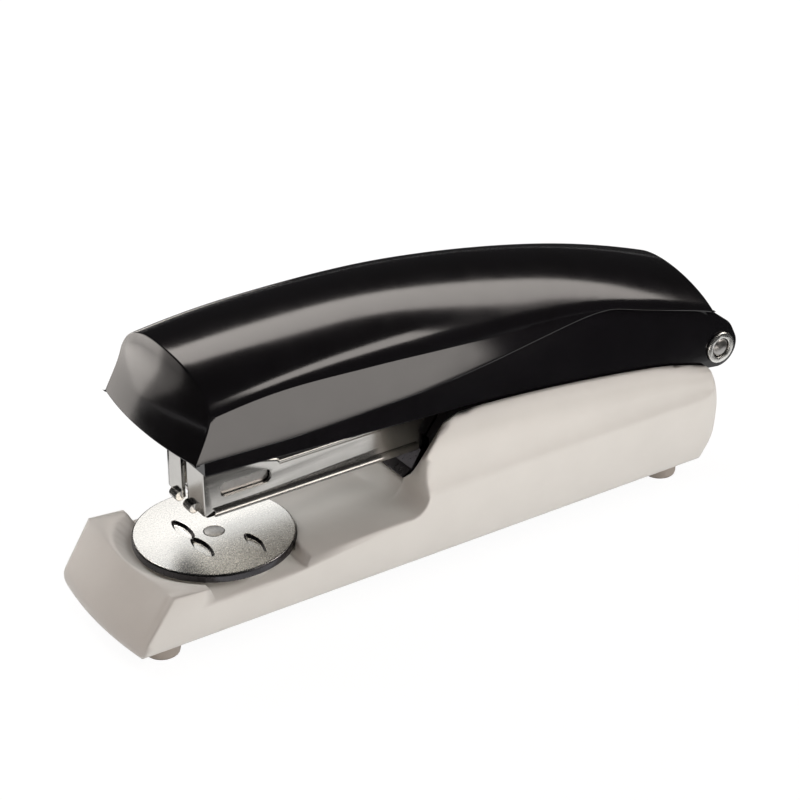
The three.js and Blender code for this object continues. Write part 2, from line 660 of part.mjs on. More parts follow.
// The channel between the cheeks: funnel-shaped at its mouth, and wide enough for the bracket behind it.
function cheekChannel() {
  const mouthStart = CHEEK_FRONT_X - CHEEK_FILLET - SILL_RUN;
  const mouthEnd = CHEEK_FRONT_X + SILL_SET_BACK + SILL_LENGTH;
  const top = CROWN_PEAK;
  const sillHalf = MAGAZINE_HALF_WIDTH + BEAD + RUN;
  const mouth = outline(mirrored([
    [sillHalf, SILL_HEIGHT + MOUTH_FOOT_RISE],
    [BRACKET_HALF_WIDTH + MOUTH_KNEE, CREASE_HEIGHT + MOUTH_KNEE],
    [CHEEK_INSIDE, MOUTH_BEVEL_HEIGHT],
    [CHEEK_INSIDE, top],
  ]));
  const room = outline(mirrored([
    [BRACKET_HALF_WIDTH + RUN, WELL_FLOOR],
    [BRACKET_HALF_WIDTH + RUN, CREASE_HEIGHT],
    [CHEEK_INSIDE, CREASE_HEIGHT + ROOM_SHOULDER],
    [CHEEK_INSIDE, top],
  ]));
  const rearWall = BASE_REAR_X - BASE_WALL;
  const overWall = block(
    rearWall - OVERCUT, BASE_REAR_X + OVERCUT, -CHEEK_INSIDE, CHEEK_INSIDE,
    HINGE_Z - ARM_EAR_RADIUS - REAR_WALL_GAP, top,
  );
  const bevels = [-1, 1].map((side) => {
    const [inner, outer] = [CHEEK_INSIDE - OVERCUT, BASE_HALF_WIDTH + OVERCUT];
    const wedge = block(CHEEK_FRONT_X - CHEEK_FILLET, CHEEK_CREST_X, ...across(side, inner, outer), 0, 1);
    return warp(wedge, (x, y, z) => {
      const outwards = Math.abs(y) - CHEEK_INSIDE;
      const rise = (x - CHEEK_FRONT_X) * MOUTH_BEVEL_SLOPE + outwards * MOUTH_BEVEL_TURN;
      return [x, y, MOUTH_BEVEL_HEIGHT + rise + z * top];
    });
  });
  return join(
    block(mouthStart, mouthEnd, -sillHalf, sillHalf, DECK_HEIGHT, SILL_HEIGHT + OVERCUT),
    alongX(mouth, mouthStart, mouthEnd),
    alongX(room, mouthEnd - OVERCUT, rearWall),
    overWall,
    ...bevels,
  );
}

// The ramp from the deck up to the sill of the channel.
function sillRamp() {
  const front = CHEEK_FRONT_X + SILL_SET_BACK;
  const foot = front - SILL_RUN;
  const profile = outline([
    [foot, DECK_HEIGHT - OVERCUT],
    [front + SILL_LENGTH, DECK_HEIGHT - OVERCUT],
    [front + SILL_LENGTH, SILL_HEIGHT],
    [front, SILL_HEIGHT, SILL_CORNER_RADIUS],
    [foot, DECK_HEIGHT],
  ]);
  return acrossY(profile, -CHEEK_INSIDE, CHEEK_INSIDE);
}

// Hollow under the deck, open downwards, with its ribs and bosses left standing.
function baseHollow() {
  const inside = BASE_HALF_WIDTH - BASE_WALL - FLANK_TAPER;
  const bays = [BASE_FRONT_X + HOLLOW_FRONT, ...RIB_STATIONS, BASE_REAR_X - HOLLOW_REAR];
  const rooms = bays.slice(1).map((end, i) => {
    const start = bays[i] + (i === 0 ? 0 : RIB_THICKNESS / 2);
    const stop = end - (i === bays.length - 2 ? 0 : RIB_THICKNESS / 2);
    return block(start, stop, -inside, inside, 0, DECK_UNDERSIDE);
  });
  const bosses = footPlaces().map(([x, y]) => disc(FOOT_RADIUS, 0, DECK_UNDERSIDE, x, y, SMALL_ROUND));
  const screwPosts = BRACKET_SCREW_STATIONS.map((x) =>
    disc(SCREW_HEAD_RADIUS + BASE_WALL, 0, DECK_UNDERSIDE, x, 0, SMALL_ROUND));
  return cut(join(...rooms), ...bosses, ...screwPosts);
}

function footPlaces() {
  return [FOOT_FRONT_X, FOOT_REAR_X].flatMap((x) => [[x, FOOT_SPREAD], [x, -FOOT_SPREAD]]);
}

function screwHoles() {
  return BRACKET_SCREW_STATIONS.map((x) =>
    join(
      disc(SCREW_RADIUS + PIN_FIT, 0, WELL_FLOOR + OVERCUT, x, 0, SMALL_ROUND),
      disc(SCREW_HEAD_RADIUS + RUN, 0, SCREW_SEAT + PIN_FIT, x, 0, SMALL_ROUND),
    ));
}

function baseShell() {
  const stemHoles = footPlaces().map(([x, y]) =>
    disc(FOOT_STEM_RADIUS + RUN, 0, BASE_BOTTOM + FOOT_STEM_LENGTH + RUN, x, y, SMALL_ROUND));
  const recess = cut(anvilRecess(), disc(PEDESTAL_RADIUS, 0, PEDESTAL_TOP));
  const open = cut(baseOuter(), cheekChannel(), recess, thumbNotch(), baseHollow(), ...stemHoles);
  const shaft = disc(ANVIL_RIVET_RADIUS + RUN, 0, HINGE_Z, 0, 0, SMALL_ROUND);
  const rivetRecess = disc(
    LEAF_RIVET_HEAD + RUN, WELL_FLOOR - LEAF_RIVET_HEAD_HEIGHT - RUN, WELL_FLOOR + OVERCUT,
    LIFT_RIVET_X, 0, SMALL_ROUND,
  );
  return cut(join(open, common(sillRamp(), baseOuter())), shaft, rivetRecess, ...screwHoles());
}

piece('base_shell', baseShell(), ABS_GREY);

['front_left', 'front_right', 'rear_left', 'rear_right'].forEach((corner, i) => {
  const [x, y] = footPlaces()[i];
  const profile = [
    [0, 0],
    [FOOT_RADIUS - FOOT_CHAMFER, 0],
    [FOOT_RADIUS, FOOT_CHAMFER],
    [FOOT_RADIUS, FOOT_HEIGHT],
    [FOOT_STEM_RADIUS, FOOT_HEIGHT],
    [FOOT_STEM_RADIUS, FOOT_HEIGHT + FOOT_STEM_LENGTH],
    [0, FOOT_HEIGHT + FOOT_STEM_LENGTH],
  ];
  piece(`foot_${corner}`, turned(profile, x, y, SMALL_ROUND), ABS_GREY);
});

// ---------------------------------------------------------------- anvil

// The paired pit that curls staple legs inwards, and the two long pits that splay them for pinning.
function clinchPits() {
  const reach = STAPLE_CROWN / 2 + PIT_OVERREACH;
  const half = PIT_WIDTH / 2;
  const waist = half * PIT_WAIST;
  const belly = reach - PIT_BELLY;
  const pair = outline([
    [CLINCH_X, -reach, PIT_TIP_RADIUS],
    [CLINCH_X + half, -belly, PIT_BELLY_RADIUS],
    [CLINCH_X + waist, 0, PIT_WAIST_RADIUS],
    [CLINCH_X + half, belly, PIT_BELLY_RADIUS],
    [CLINCH_X, reach, PIT_TIP_RADIUS],
    [CLINCH_X - half, belly, PIT_BELLY_RADIUS],
    [CLINCH_X - waist, 0, PIT_WAIST_RADIUS],
    [CLINCH_X - half, -belly, PIT_BELLY_RADIUS],
  ]);
  const shoulder = PIN_PIT_START + PIN_PIT_LENGTH * PIN_PIT_SHOULDER;
  const tapered = half * PIN_PIT_TAPER;
  const pins = [-1, 1].map((side) =>
    outline([
      [-CLINCH_X - half, side * PIN_PIT_START, PIN_PIT_START_RADIUS],
      [-CLINCH_X + half, side * PIN_PIT_START, PIN_PIT_START_RADIUS],
      [-CLINCH_X + tapered, side * shoulder, PIT_BELLY_RADIUS],
      [-CLINCH_X, side * (PIN_PIT_START + PIN_PIT_LENGTH), PIT_TIP_RADIUS],
      [-CLINCH_X - tapered, side * shoulder, PIT_BELLY_RADIUS],
    ]));
  return [pair, ...pins].map((shape) => upZ(shape, ANVIL_TOP - PIT_DEPTH, ANVIL_TOP + OVERCUT));
}

const anvilPlate = turned([
  [0, ANVIL_BOTTOM],
  [PEDESTAL_RADIUS + RUN, ANVIL_BOTTOM],
  [PEDESTAL_RADIUS + RUN, ANVIL_BOTTOM - ANVIL_RIM_DROP],
  [ANVIL_RADIUS - ANVIL_RIM_TAPER, ANVIL_BOTTOM - ANVIL_RIM_DROP],
  [ANVIL_RADIUS, ANVIL_BOTTOM],
  [ANVIL_RADIUS - ANVIL_EDGE_DRAFT, ANVIL_TOP - ANVIL_EDGE_RADIUS],
  [ANVIL_RADIUS - ANVIL_EDGE_RADIUS, ANVIL_TOP],
  [0, ANVIL_TOP],
]);
const anvilHole = disc(ANVIL_RIVET_RADIUS + PIN_FIT, 0, HINGE_Z, 0, 0, SMALL_ROUND);
piece('anvil_disc', cut(anvilPlate, anvilHole, ...clinchPits()), CHROME);

const WASHER_TOP = DECK_UNDERSIDE - RUN;
const washerProfile = [
  [ANVIL_RIVET_RADIUS + RUN, WASHER_TOP - WASHER_CROWN - WASHER_THICKNESS],
  [WASHER_RADIUS, WASHER_TOP - WASHER_THICKNESS],
  [WASHER_RADIUS, WASHER_TOP],
  [ANVIL_RIVET_RADIUS + RUN, WASHER_TOP - WASHER_CROWN],
];
piece('anvil_spring_washer', turned(closed(washerProfile), 0, 0, SMALL_ROUND), SPRING_STEEL);

const RETAINER_TOP = WASHER_TOP - WASHER_CROWN - WASHER_THICKNESS - RUN;
const RETAINER_BOTTOM = RETAINER_TOP - RETAINER_THICKNESS;
const retainerProfile = [
  [ANVIL_RIVET_RADIUS + PIN_FIT, RETAINER_BOTTOM],
  [RETAINER_RADIUS, RETAINER_BOTTOM],
  [RETAINER_RADIUS, RETAINER_TOP],
  [ANVIL_RIVET_RADIUS + PIN_FIT, RETAINER_TOP],
];
piece('anvil_retainer', turned(closed(retainerProfile), 0, 0, SMALL_ROUND), ZINC);
const rivetFoot = RETAINER_BOTTOM - ANVIL_RIVET_TAIL;
piece('anvil_rivet', disc(ANVIL_RIVET_RADIUS, rivetFoot, ANVIL_TOP, 0, 0, SMALL_ROUND), ZINC);

// ---------------------------------------------------------------- base bracket and its fasteners

const BRACKET_FLOOR = WELL_FLOOR + RUN;
const BRACKET_FLOOR_TOP = BRACKET_FLOOR + BRACKET_STEEL;
const BRACKET_REAR_X = BASE_REAR_X - BASE_WALL - RUN;
const BRACKET_INSIDE = BRACKET_HALF_WIDTH - BRACKET_STEEL;

function earHole(radius) {
  return barrel(radius, -BASE_HALF_WIDTH, BASE_HALF_WIDTH, HINGE_X, HINGE_Z);
}

function baseBracket() {
  const top = HINGE_Z + EAR_RADIUS;
  const flange = outline([
    [BRACKET_FRONT_X, BRACKET_FLOOR],
    [BRACKET_REAR_X, BRACKET_FLOOR],
    [BRACKET_REAR_X, HINGE_Z - ARM_EAR_RADIUS - REAR_WALL_GAP],
    ...arc(HINGE_X, HINGE_Z, EAR_RADIUS, BRACKET_EAR_START, 90, EAR_ROUND),
    [BRACKET_FRONT_X + BRACKET_LUG_RAKE, top],
    [BRACKET_FRONT_X, BRACKET_LUG_HEIGHT],
  ]);
  const lug = outline([
    [BRACKET_FRONT_X, BRACKET_LUG_HEIGHT],
    [BRACKET_FRONT_X + BRACKET_LUG_LENGTH, BRACKET_LUG_HEIGHT],
    [BRACKET_FRONT_X + BRACKET_LUG_LENGTH + BRACKET_LUG_RAKE, top],
    [BRACKET_FRONT_X + BRACKET_LUG_RAKE, top],
  ]);
  const flanges = [-1, 1].map((side) => {
    const sheet = acrossY(flange, ...across(side, BRACKET_INSIDE, BRACKET_HALF_WIDTH));
    return join(sheet, acrossY(lug, ...across(side, MAGAZINE_HALF_WIDTH + RUN, BRACKET_HALF_WIDTH)));
  });
  const floor = block(
    BRACKET_FRONT_X, BRACKET_REAR_X, -BRACKET_INSIDE, BRACKET_INSIDE, BRACKET_FLOOR, BRACKET_FLOOR_TOP,
  );
  const screws = BRACKET_SCREW_STATIONS.map((x) =>
    disc(SCREW_RADIUS + PIN_FIT, 0, HINGE_Z, x, 0, SMALL_ROUND));
  const rivet = disc(LEAF_RIVET_RADIUS + PIN_FIT, 0, HINGE_Z, LIFT_RIVET_X, 0, SMALL_ROUND);
  return cut(join(floor, ...flanges), earHole(HINGE_PIN_RADIUS + PIN_FIT), rivet, ...screws);
}

piece('base_bracket', baseBracket(), BLACKENED_STEEL);

['front', 'rear'].forEach((place, i) => {
  const headBottom = SCREW_SEAT - SCREW_HEAD_HEIGHT;
  const profile = [
    [0, headBottom],
    [SCREW_HEAD_RADIUS, headBottom + SCREW_HEAD_CHAMFER],
    [SCREW_HEAD_RADIUS, SCREW_SEAT],
    [SCREW_RADIUS, SCREW_SEAT],
    [SCREW_RADIUS, BRACKET_FLOOR_TOP],
    [0, BRACKET_FLOOR_TOP + SCREW_DOME],
  ];
  piece(`bracket_screw_${place}`, turned(profile, BRACKET_SCREW_STATIONS[i], 0, SMALL_ROUND), ZINC);
});

function liftSpring() {
  const foot = BRACKET_FLOOR_TOP + RUN;
  const toe = SILL_HEIGHT + RUN;
  const line = [
    [LIFT_LEAF_ANCHOR_X, foot],
    [LIFT_LEAF_ANCHOR_X - LIFT_LEAF_FOOT, foot],
    [LIFT_LEAF_CREST_X, MAGAZINE_BOTTOM - RUN - LEAF - LEAF_MITRE],
    [LIFT_LEAF_KNEE_X, toe + LIFT_LEAF_KNEE_RISE],
    [LIFT_LEAF_TOE_X, toe],
  ];
  const leaf = acrossY(ribbon(line, LEAF), -LIFT_LEAF_HALF_WIDTH, LIFT_LEAF_HALF_WIDTH);
  return cut(leaf, disc(LEAF_RIVET_RADIUS + PIN_FIT, 0, HINGE_Z, LIFT_RIVET_X, 0, SMALL_ROUND));
}

piece('lift_spring', liftSpring(), SPRING_STEEL);

const liftRivetHead = BRACKET_FLOOR_TOP + RUN + LEAF + RUN;
const liftRivet = [
  [0, BRACKET_FLOOR - LEAF_RIVET_HEAD_HEIGHT - RUN],
  [LEAF_RIVET_HEAD, BRACKET_FLOOR - LEAF_RIVET_HEAD_HEIGHT - RUN],
  [LEAF_RIVET_HEAD, BRACKET_FLOOR - RUN],
  [LEAF_RIVET_RADIUS, BRACKET_FLOOR - RUN],
  [LEAF_RIVET_RADIUS, liftRivetHead],
  [LEAF_RIVET_HEAD, liftRivetHead],
  [LEAF_RIVET_HEAD, liftRivetHead + LEAF_RIVET_HEAD_HEIGHT],
  [0, liftRivetHead + LEAF_RIVET_HEAD_HEIGHT],
];
piece('lift_spring_rivet', turned(liftRivet, LIFT_RIVET_X, 0, SMALL_ROUND), ZINC);

// ---------------------------------------------------------------- magazine

function magazineTop(x) {
  const front = MAGAZINE_BOTTOM + MAGAZINE_HEIGHT;
  const fall = front - HINGE_Z - EAR_RADIUS;
  return front - (fall * (x - PLATE_FRONT_X)) / (HINGE_X - PLATE_FRONT_X);
}

function magazine() {
  const inside = MAGAZINE_HALF_WIDTH - STEEL;
  const tail = HINGE_X - MAGAZINE_TAIL;
  const side = outline([
    [PLATE_FRONT_X, MAGAZINE_BOTTOM, MAGAZINE_CORNER_RADIUS],
    [tail, MAGAZINE_BOTTOM],
    ...arc(HINGE_X, HINGE_Z, EAR_RADIUS, -90, 90, EAR_ROUND),
    [PLATE_FRONT_X, magazineTop(PLATE_FRONT_X)],
  ]);
  const walls = [-1, 1].map((way) => acrossY(side, ...across(way, inside, MAGAZINE_HALF_WIDTH)));
  const floor = block(RAIL_FRONT_X, tail, -inside, inside, MAGAZINE_BOTTOM, MAGAZINE_FLOOR);
  const seam = [SEAM_OFFSET - SEAM_WIDTH / 2, SEAM_OFFSET + SEAM_WIDTH / 2];
  const plateTop = magazineTop(PLATE_FRONT_X) - RUN;
  const plates = [[-inside, seam[0]], [seam[1], inside]].map(([y0, y1]) =>
    block(PLATE_FRONT_X, PLATE_BACK_X, y0, y1, MAGAZINE_BOTTOM, plateTop));
  const lugZ = MAGAZINE_BOTTOM - LUG_DROP + LUG_RADIUS;
  const lugs = [seam[0] - RUN - LUG_LENGTH, seam[1] + RUN].map((y) =>
    barrel(LUG_RADIUS, y, y + LUG_LENGTH, PLATE_FRONT_X - RUN, lugZ, SMALL_ROUND / 2));
  const beads = [-1, 1].flatMap((way) => {
    const y = across(way, inside, MAGAZINE_HALF_WIDTH + BEAD);
    const low = MAGAZINE_BOTTOM;
    const high = MAGAZINE_BOTTOM + UPPER_BEAD_RISE;
    return [
      block(PLATE_BACK_X + LOWER_BEAD_START, BEAD_END_X, ...y, low, low + LOWER_BEAD_HEIGHT),
      block(UPPER_BEAD_X, BEAD_END_X, ...y, high, high + UPPER_BEAD_HEIGHT),
    ];
  });
  const windowX = PLATE_FRONT_X + WINDOW_START;
  const windowZ = MAGAZINE_BOTTOM + WINDOW_RISE;
  const slot = outline([
    [windowX, windowZ, WINDOW_HEIGHT / 2],
    [windowX + WINDOW_LENGTH, windowZ, WINDOW_HEIGHT / 2],
    [windowX + WINDOW_LENGTH, windowZ + WINDOW_HEIGHT, WINDOW_HEIGHT / 2],
    [windowX, windowZ + WINDOW_HEIGHT, WINDOW_HEIGHT / 2],
  ]);
  const body = join(...walls, floor, ...plates, ...lugs, ...beads);
  return cut(body, acrossY(slot, -BASE_HALF_WIDTH, BASE_HALF_WIDTH), earHole(HINGE_PIN_RADIUS + PIN_FIT));
}

piece('magazine', magazine(), CHROME);

function stapleRail() {
  const inside = RAIL_HALF_WIDTH - STEEL;
  const shell = block(RAIL_FRONT_X, RAIL_REAR_X, -RAIL_HALF_WIDTH, RAIL_HALF_WIDTH, RAIL_BOTTOM, RAIL_TOP);
  const hollow = block(RAIL_FRONT_X + STEEL, RAIL_REAR_X + OVERCUT, -inside, inside, 0, RAIL_TOP - STEEL);
  const half = RAIL_SLOT_WIDTH / 2;
  const slotEnds = [RAIL_FRONT_X + RAIL_SLOT_MARGIN, RAIL_REAR_X - RAIL_SLOT_MARGIN];
  const slot = block(...slotEnds, -half, half, 0, CROWN_PEAK);
  const holeEnds = [RAIL_FRONT_X - OVERCUT, RAIL_FRONT_X + STEEL + OVERCUT];
  const rodHole = rodAlongX(ROD_RADIUS + PIN_FIT, ...holeEnds, 0, ROD_Z);
  return cut(shell, hollow, slot, rodHole);
}

piece('staple_rail', stapleRail(), CHROME);

const STOP_HALF_WIDTH = RAIL_HALF_WIDTH - STEEL - RUN;
const STOP_FRONT_X = RAIL_REAR_X - STOP_LENGTH;
const stopBlock = block(
  STOP_FRONT_X, RAIL_REAR_X, -STOP_HALF_WIDTH, STOP_HALF_WIDTH, RAIL_BOTTOM, RAIL_TOP - STEEL - RUN,
);
const stopHole = rodAlongX(ROD_RADIUS + PIN_FIT, STOP_FRONT_X - OVERCUT, RAIL_REAR_X + OVERCUT, 0, ROD_Z);
piece('rail_stop', cut(stopBlock, stopHole), ZINC);
piece('pusher_rod', rodAlongX(ROD_RADIUS, RAIL_FRONT_X + RUN, RAIL_REAR_X, 0, ROD_Z), ZINC);

function pusher() {
  const front = RAIL_FRONT_X + RUN;
  const rear = front + PUSHER_LENGTH;
  const outer = MAGAZINE_HALF_WIDTH - STEEL - STAPLE_PLAY;
  const inner = RAIL_HALF_WIDTH + RUN;
  const under = RAIL_TOP + RUN;
  const saddle = cut(
    block(front, rear, -outer, outer, RAIL_BOTTOM + RUN, under + PUSHER_CAP),
    block(front - OVERCUT, rear + OVERCUT, -inner, inner, 0, under),
  );
  const webHalf = RAIL_SLOT_WIDTH / 2 - RUN;
  const webFront = RAIL_FRONT_X + RAIL_SLOT_MARGIN + RUN;
  const web = block(webFront, rear, -webHalf, webHalf, ROD_Z, under + PUSHER_CAP / 2);
  const hub = rodAlongX(PUSHER_HUB_RADIUS, webFront, rear, 0, ROD_Z);
  const bore = rodAlongX(ROD_RADIUS + PIN_FIT, front, rear + OVERCUT, 0, ROD_Z);
  return cut(join(saddle, web, hub), bore);
}

piece('pusher', pusher(), ZINC);

// A helical compression spring round the rod, with its wire ends closed by the extrusion's own caps.
class Helix extends THREE.Curve {
  getPoint(t) {
    const angle = 2 * Math.PI * SPRING_TURNS * t;
    const start = RAIL_FRONT_X + RUN + PUSHER_LENGTH + RUN + SPRING_WIRE / 2;
    const end = STOP_FRONT_X - RUN - SPRING_WIRE / 2;
    const radius = SPRING_RADIUS - SPRING_WIRE / 2;
    return new THREE.Vector3(
      start + (end - start) * t, radius * Math.cos(angle), ROD_Z + radius * Math.sin(angle),
    );
  }
}

const wire = new THREE.Shape();
wire.absarc(0, 0, SPRING_WIRE / 2, 0, 2 * Math.PI);
const coil = new THREE.ExtrudeGeometry(wire, {
  extrudePath: new Helix(), steps: SPRING_TURNS * COIL_STEPS, curveSegments: 3, bevelEnabled: false,
});
piece('pusher_spring', coil, SPRING_STEEL);

// ---------------------------------------------------------------- hinge

const pinEnd = ARM_HALF_WIDTH + EYELET_FLANGE;
const pinProfile = [
  [0, -pinEnd - PIN_DOME],
  [HINGE_PIN_RADIUS * PIN_DOME_SHOULDER, -pinEnd - PIN_DOME / 2],
  [HINGE_PIN_RADIUS, -pinEnd + PIN_DOME],
  [HINGE_PIN_RADIUS, pinEnd - PIN_DOME],
  [HINGE_PIN_RADIUS * PIN_DOME_SHOULDER, pinEnd + PIN_DOME / 2],
  [0, pinEnd + PIN_DOME],
];
piece('hinge_pin', turnedAcross(pinProfile, HINGE_X, HINGE_Z), ZINC);

// A ring round the hinge axis; half its section is [radius, y] from its inner to its outer face.
function hingeRing(section, side) {
  const ring = turnedAcross(closed(section), HINGE_X, HINGE_Z);
  return side > 0 ? ring : ring.rotateZ(Math.PI).translate(2 * HINGE_X, 0, 0);
}

['left', 'right'].forEach((name, i) => {
  const side = i === 0 ? 1 : -1;
  const bore = HINGE_PIN_RADIUS + PIN_FIT;
  const inside = ARM_HALF_WIDTH - ARM_STEEL;
  const washer = [
    [bore, BRACKET_HALF_WIDTH + PIN_FIT],
    [HINGE_WASHER_RADIUS, BRACKET_HALF_WIDTH + PIN_FIT],
    [HINGE_WASHER_RADIUS, inside - PIN_FIT],
    [bore, inside - PIN_FIT],
  ];
  const eyelet = [
    [bore, inside],
    [bore + EYELET_WALL, inside],
    [bore + EYELET_WALL, ARM_HALF_WIDTH + PIN_FIT],
    [EYELET_RADIUS, ARM_HALF_WIDTH + PIN_FIT],
    [EYELET_RADIUS - EYELET_CHAMFER, ARM_HALF_WIDTH + PIN_FIT + EYELET_FLANGE],
    [bore, ARM_HALF_WIDTH + PIN_FIT + EYELET_FLANGE],
  ];
  piece(`hinge_washer_${name}`, hingeRing(washer, side), NYLON);
  piece(`hinge_eyelet_${name}`, hingeRing(eyelet, side), CHROME);
});

const spacerEnd = MAGAZINE_HALF_WIDTH - STEEL - PIN_FIT;
const spacerBore = HINGE_PIN_RADIUS + PIN_FIT;
const spacer = [
  [spacerBore, -spacerEnd],
  [spacerBore + SPACER_WALL, -spacerEnd],
  [spacerBore + SPACER_WALL, spacerEnd],
  [spacerBore, spacerEnd],
];
piece('magazine_spacer', turnedAcross(closed(spacer), HINGE_X, HINGE_Z), ZINC);

// ---------------------------------------------------------------- arm

// Heights of the cover's crown and of the arm's top plate under it.
function crown(x) {
  const off = x - COVER_CROWN_X;
  const radius = off < 0 ? COVER_FRONT_RADIUS : COVER_REAR_RADIUS;
  return CROWN_PEAK - radius + Math.sqrt(radius ** 2 - off ** 2);
}

function armTop(x) {
  const step = ARM_TOP_STEP * THREE.MathUtils.smoothstep(x, ARM_TOP_STEP_START, ARM_TOP_STEP_END);
  return crown(x) - ARM_TOP_BELOW_CROWN + step;
}

function armFrame() {
  const bend = ARM_LIP - ARM_EDGE_DROP;
  const earBottom = HINGE_Z - ARM_EAR_RADIUS;
  const reach = HINGE_X - ARM_BEND_X;
  const tail = smooth([
    ...ARM_TAIL_LINE.map(([share, fall]) => [ARM_BEND_X + reach * share, bend - (bend - earBottom) * fall]),
    [HINGE_X - ARM_EAR_RADIUS, earBottom + ARM_EAR_LEAD],
  ], CURVE_STEPS);
  const side = outline([
    [ARM_FRONT_X, ARM_LIP],
    ...tail,
    ...arc(HINGE_X, HINGE_Z, ARM_EAR_RADIUS, ARM_EAR_START, ARM_EAR_END, EAR_ROUND),
    [HINGE_X + ARM_BACK, HINGE_Z + ARM_BACK_RISE, ARM_BACK_RADIUS],
    [ARM_TAIL_X, HINGE_Z + ARM_TAIL_RISE, ARM_TAIL_RADIUS],
    ...along(ARM_TOP_END_X, ARM_FRONT_X, armTop),
  ]);
  const inside = ARM_HALF_WIDTH - ARM_STEEL;
  const walls = [-1, 1].map((way) => acrossY(side, ...across(way, inside, ARM_HALF_WIDTH)));
  const plateEnd = ARM_TOP_END_X - ARM_PLATE_SHORT;
  const plate = outline([
    ...along(ARM_FRONT_X, plateEnd, (x) => armTop(x) - ARM_STEEL),
    ...along(plateEnd, ARM_FRONT_X, armTop),
  ]);
  const front = block(
    ARM_FRONT_X, ARM_FRONT_X + ARM_STEEL, -inside, inside, ARM_LIP, armTop(ARM_FRONT_X) - ARM_STEEL / 2,
  );
  const eyeletBarrel = HINGE_PIN_RADIUS + PIN_FIT + EYELET_WALL + PIN_FIT;
  const body = join(...walls, acrossY(plate, -inside, inside), front);
  return cut(body, earHole(eyeletBarrel), handleRivetHole());
}

// Places a piece, made upright at the origin, square to the arm's top plate at x.
function onArmTop(geometry, x) {
  const slope = (armTop(x + RUN) - armTop(x - RUN)) / (2 * RUN);
  return geometry.rotateY(-Math.atan(slope)).translate(x, 0, armTop(x) - ARM_STEEL);
}

function handleRivetHole() {
  const drill = disc(LEAF_RIVET_RADIUS + PIN_FIT, -LEAF_RIVET_HEAD, LEAF_RIVET_HEAD, 0, 0, SMALL_ROUND);
  return onArmTop(drill, HANDLE_RIVET_X);
}

piece('arm_frame', armFrame(), PAINTED_STEEL);

function handleSpring() {
  const under = ARM_STEEL + RUN + LEAF;
  const foot = HANDLE_LEAF_ANCHOR_X - HANDLE_LEAF_FOOT;
  const tip = magazineTop(HANDLE_LEAF_TIP_X) + RUN;
  const line = [
    [HANDLE_LEAF_ANCHOR_X, armTop(HANDLE_LEAF_ANCHOR_X) - under],
    [foot, armTop(foot) - under],
    [HANDLE_LEAF_TIP_X, tip],
    [HANDLE_LEAF_TIP_X - HANDLE_LEAF_CURL, tip + HANDLE_LEAF_CURL_RISE],
  ];
  const leaf = acrossY(ribbon(line, LEAF), -HANDLE_LEAF_HALF_WIDTH, HANDLE_LEAF_HALF_WIDTH);
  return cut(leaf, handleRivetHole());
}

piece('handle_spring', handleSpring(), SPRING_STEEL);

const handleRivetLow = -RUN - LEAF - RUN;
const handleRivet = [
  [0, handleRivetLow - LEAF_RIVET_HEAD_HEIGHT],
  [LEAF_RIVET_HEAD, handleRivetLow - LEAF_RIVET_HEAD_HEIGHT],
  [LEAF_RIVET_HEAD, handleRivetLow],
  [LEAF_RIVET_RADIUS, handleRivetLow],
  [LEAF_RIVET_RADIUS, ARM_STEEL + RUN],
  [LEAF_RIVET_HEAD, ARM_STEEL + RUN],
  [LEAF_RIVET_HEAD, ARM_STEEL + RUN + LEAF_RIVET_HEAD_HEIGHT],
  [0, ARM_STEEL + RUN + LEAF_RIVET_HEAD_HEIGHT],
];
piece('handle_spring_rivet', onArmTop(turned(handleRivet, 0, 0, SMALL_ROUND), HANDLE_RIVET_X), ZINC);

// ---------------------------------------------------------------- driver

const DRIVER_TIP = RAIL_TOP + STAPLE_WIRE + DRIVER_TIP_ABOVE_STAPLE;
const MOUNT_FRONT_X = DRIVER_BACK_X + DRIVER_LEAN + RUN;
const MOUNT_TOP = armTop(MOUNT_FRONT_X) - ARM_STEEL - RUN;
const DRIVER_HEAD = MOUNT_TOP - DRIVER_HEAD_DROP;
const DRIVER_RIVET_Z = DRIVER_HEAD - DRIVER_RIVET_DROP;

function driverRivetHole(y) {
  const ends = [PLATE_FRONT_X, MOUNT_FRONT_X + MOUNT_FOOT / 2];
  return rodAlongX(DRIVER_RIVET_RADIUS + PIN_FIT, ...ends, y, DRIVER_RIVET_Z);
}

function driverBlade() {
  const half = STAPLE_CROWN / 2 - PIN_FIT;
  const profile = outline([
    [DRIVER_FRONT_X, DRIVER_TIP],
    [DRIVER_BACK_X, DRIVER_TIP],
    [DRIVER_BACK_X + DRIVER_LEAN, DRIVER_HEAD],
    [DRIVER_FRONT_X + DRIVER_LEAN, DRIVER_HEAD],
  ]);
  const holes = [-DRIVER_RIVET_SPREAD, DRIVER_RIVET_SPREAD].map(driverRivetHole);
  return cut(acrossY(profile, -half, half), ...holes);
}

piece('driver_blade', driverBlade(), SPRING_STEEL);

function driverMount() {
  const back = MOUNT_FRONT_X + MOUNT_THICKNESS;
  const profile = outline([
    [MOUNT_FRONT_X, DRIVER_HEAD - MOUNT_HEIGHT],
    [back, DRIVER_HEAD - MOUNT_HEIGHT],
    [back, MOUNT_TOP - MOUNT_THICKNESS],
    [MOUNT_FRONT_X + MOUNT_FOOT, MOUNT_TOP - MOUNT_THICKNESS],
    [MOUNT_FRONT_X + MOUNT_FOOT, MOUNT_TOP],
    [MOUNT_FRONT_X, MOUNT_TOP],
  ]);
  const holes = [-DRIVER_RIVET_SPREAD, DRIVER_RIVET_SPREAD].map(driverRivetHole);
  return cut(acrossY(profile, -MOUNT_HALF_WIDTH, MOUNT_HALF_WIDTH), ...holes);
}

piece('driver_mount', driverMount(), ZINC);

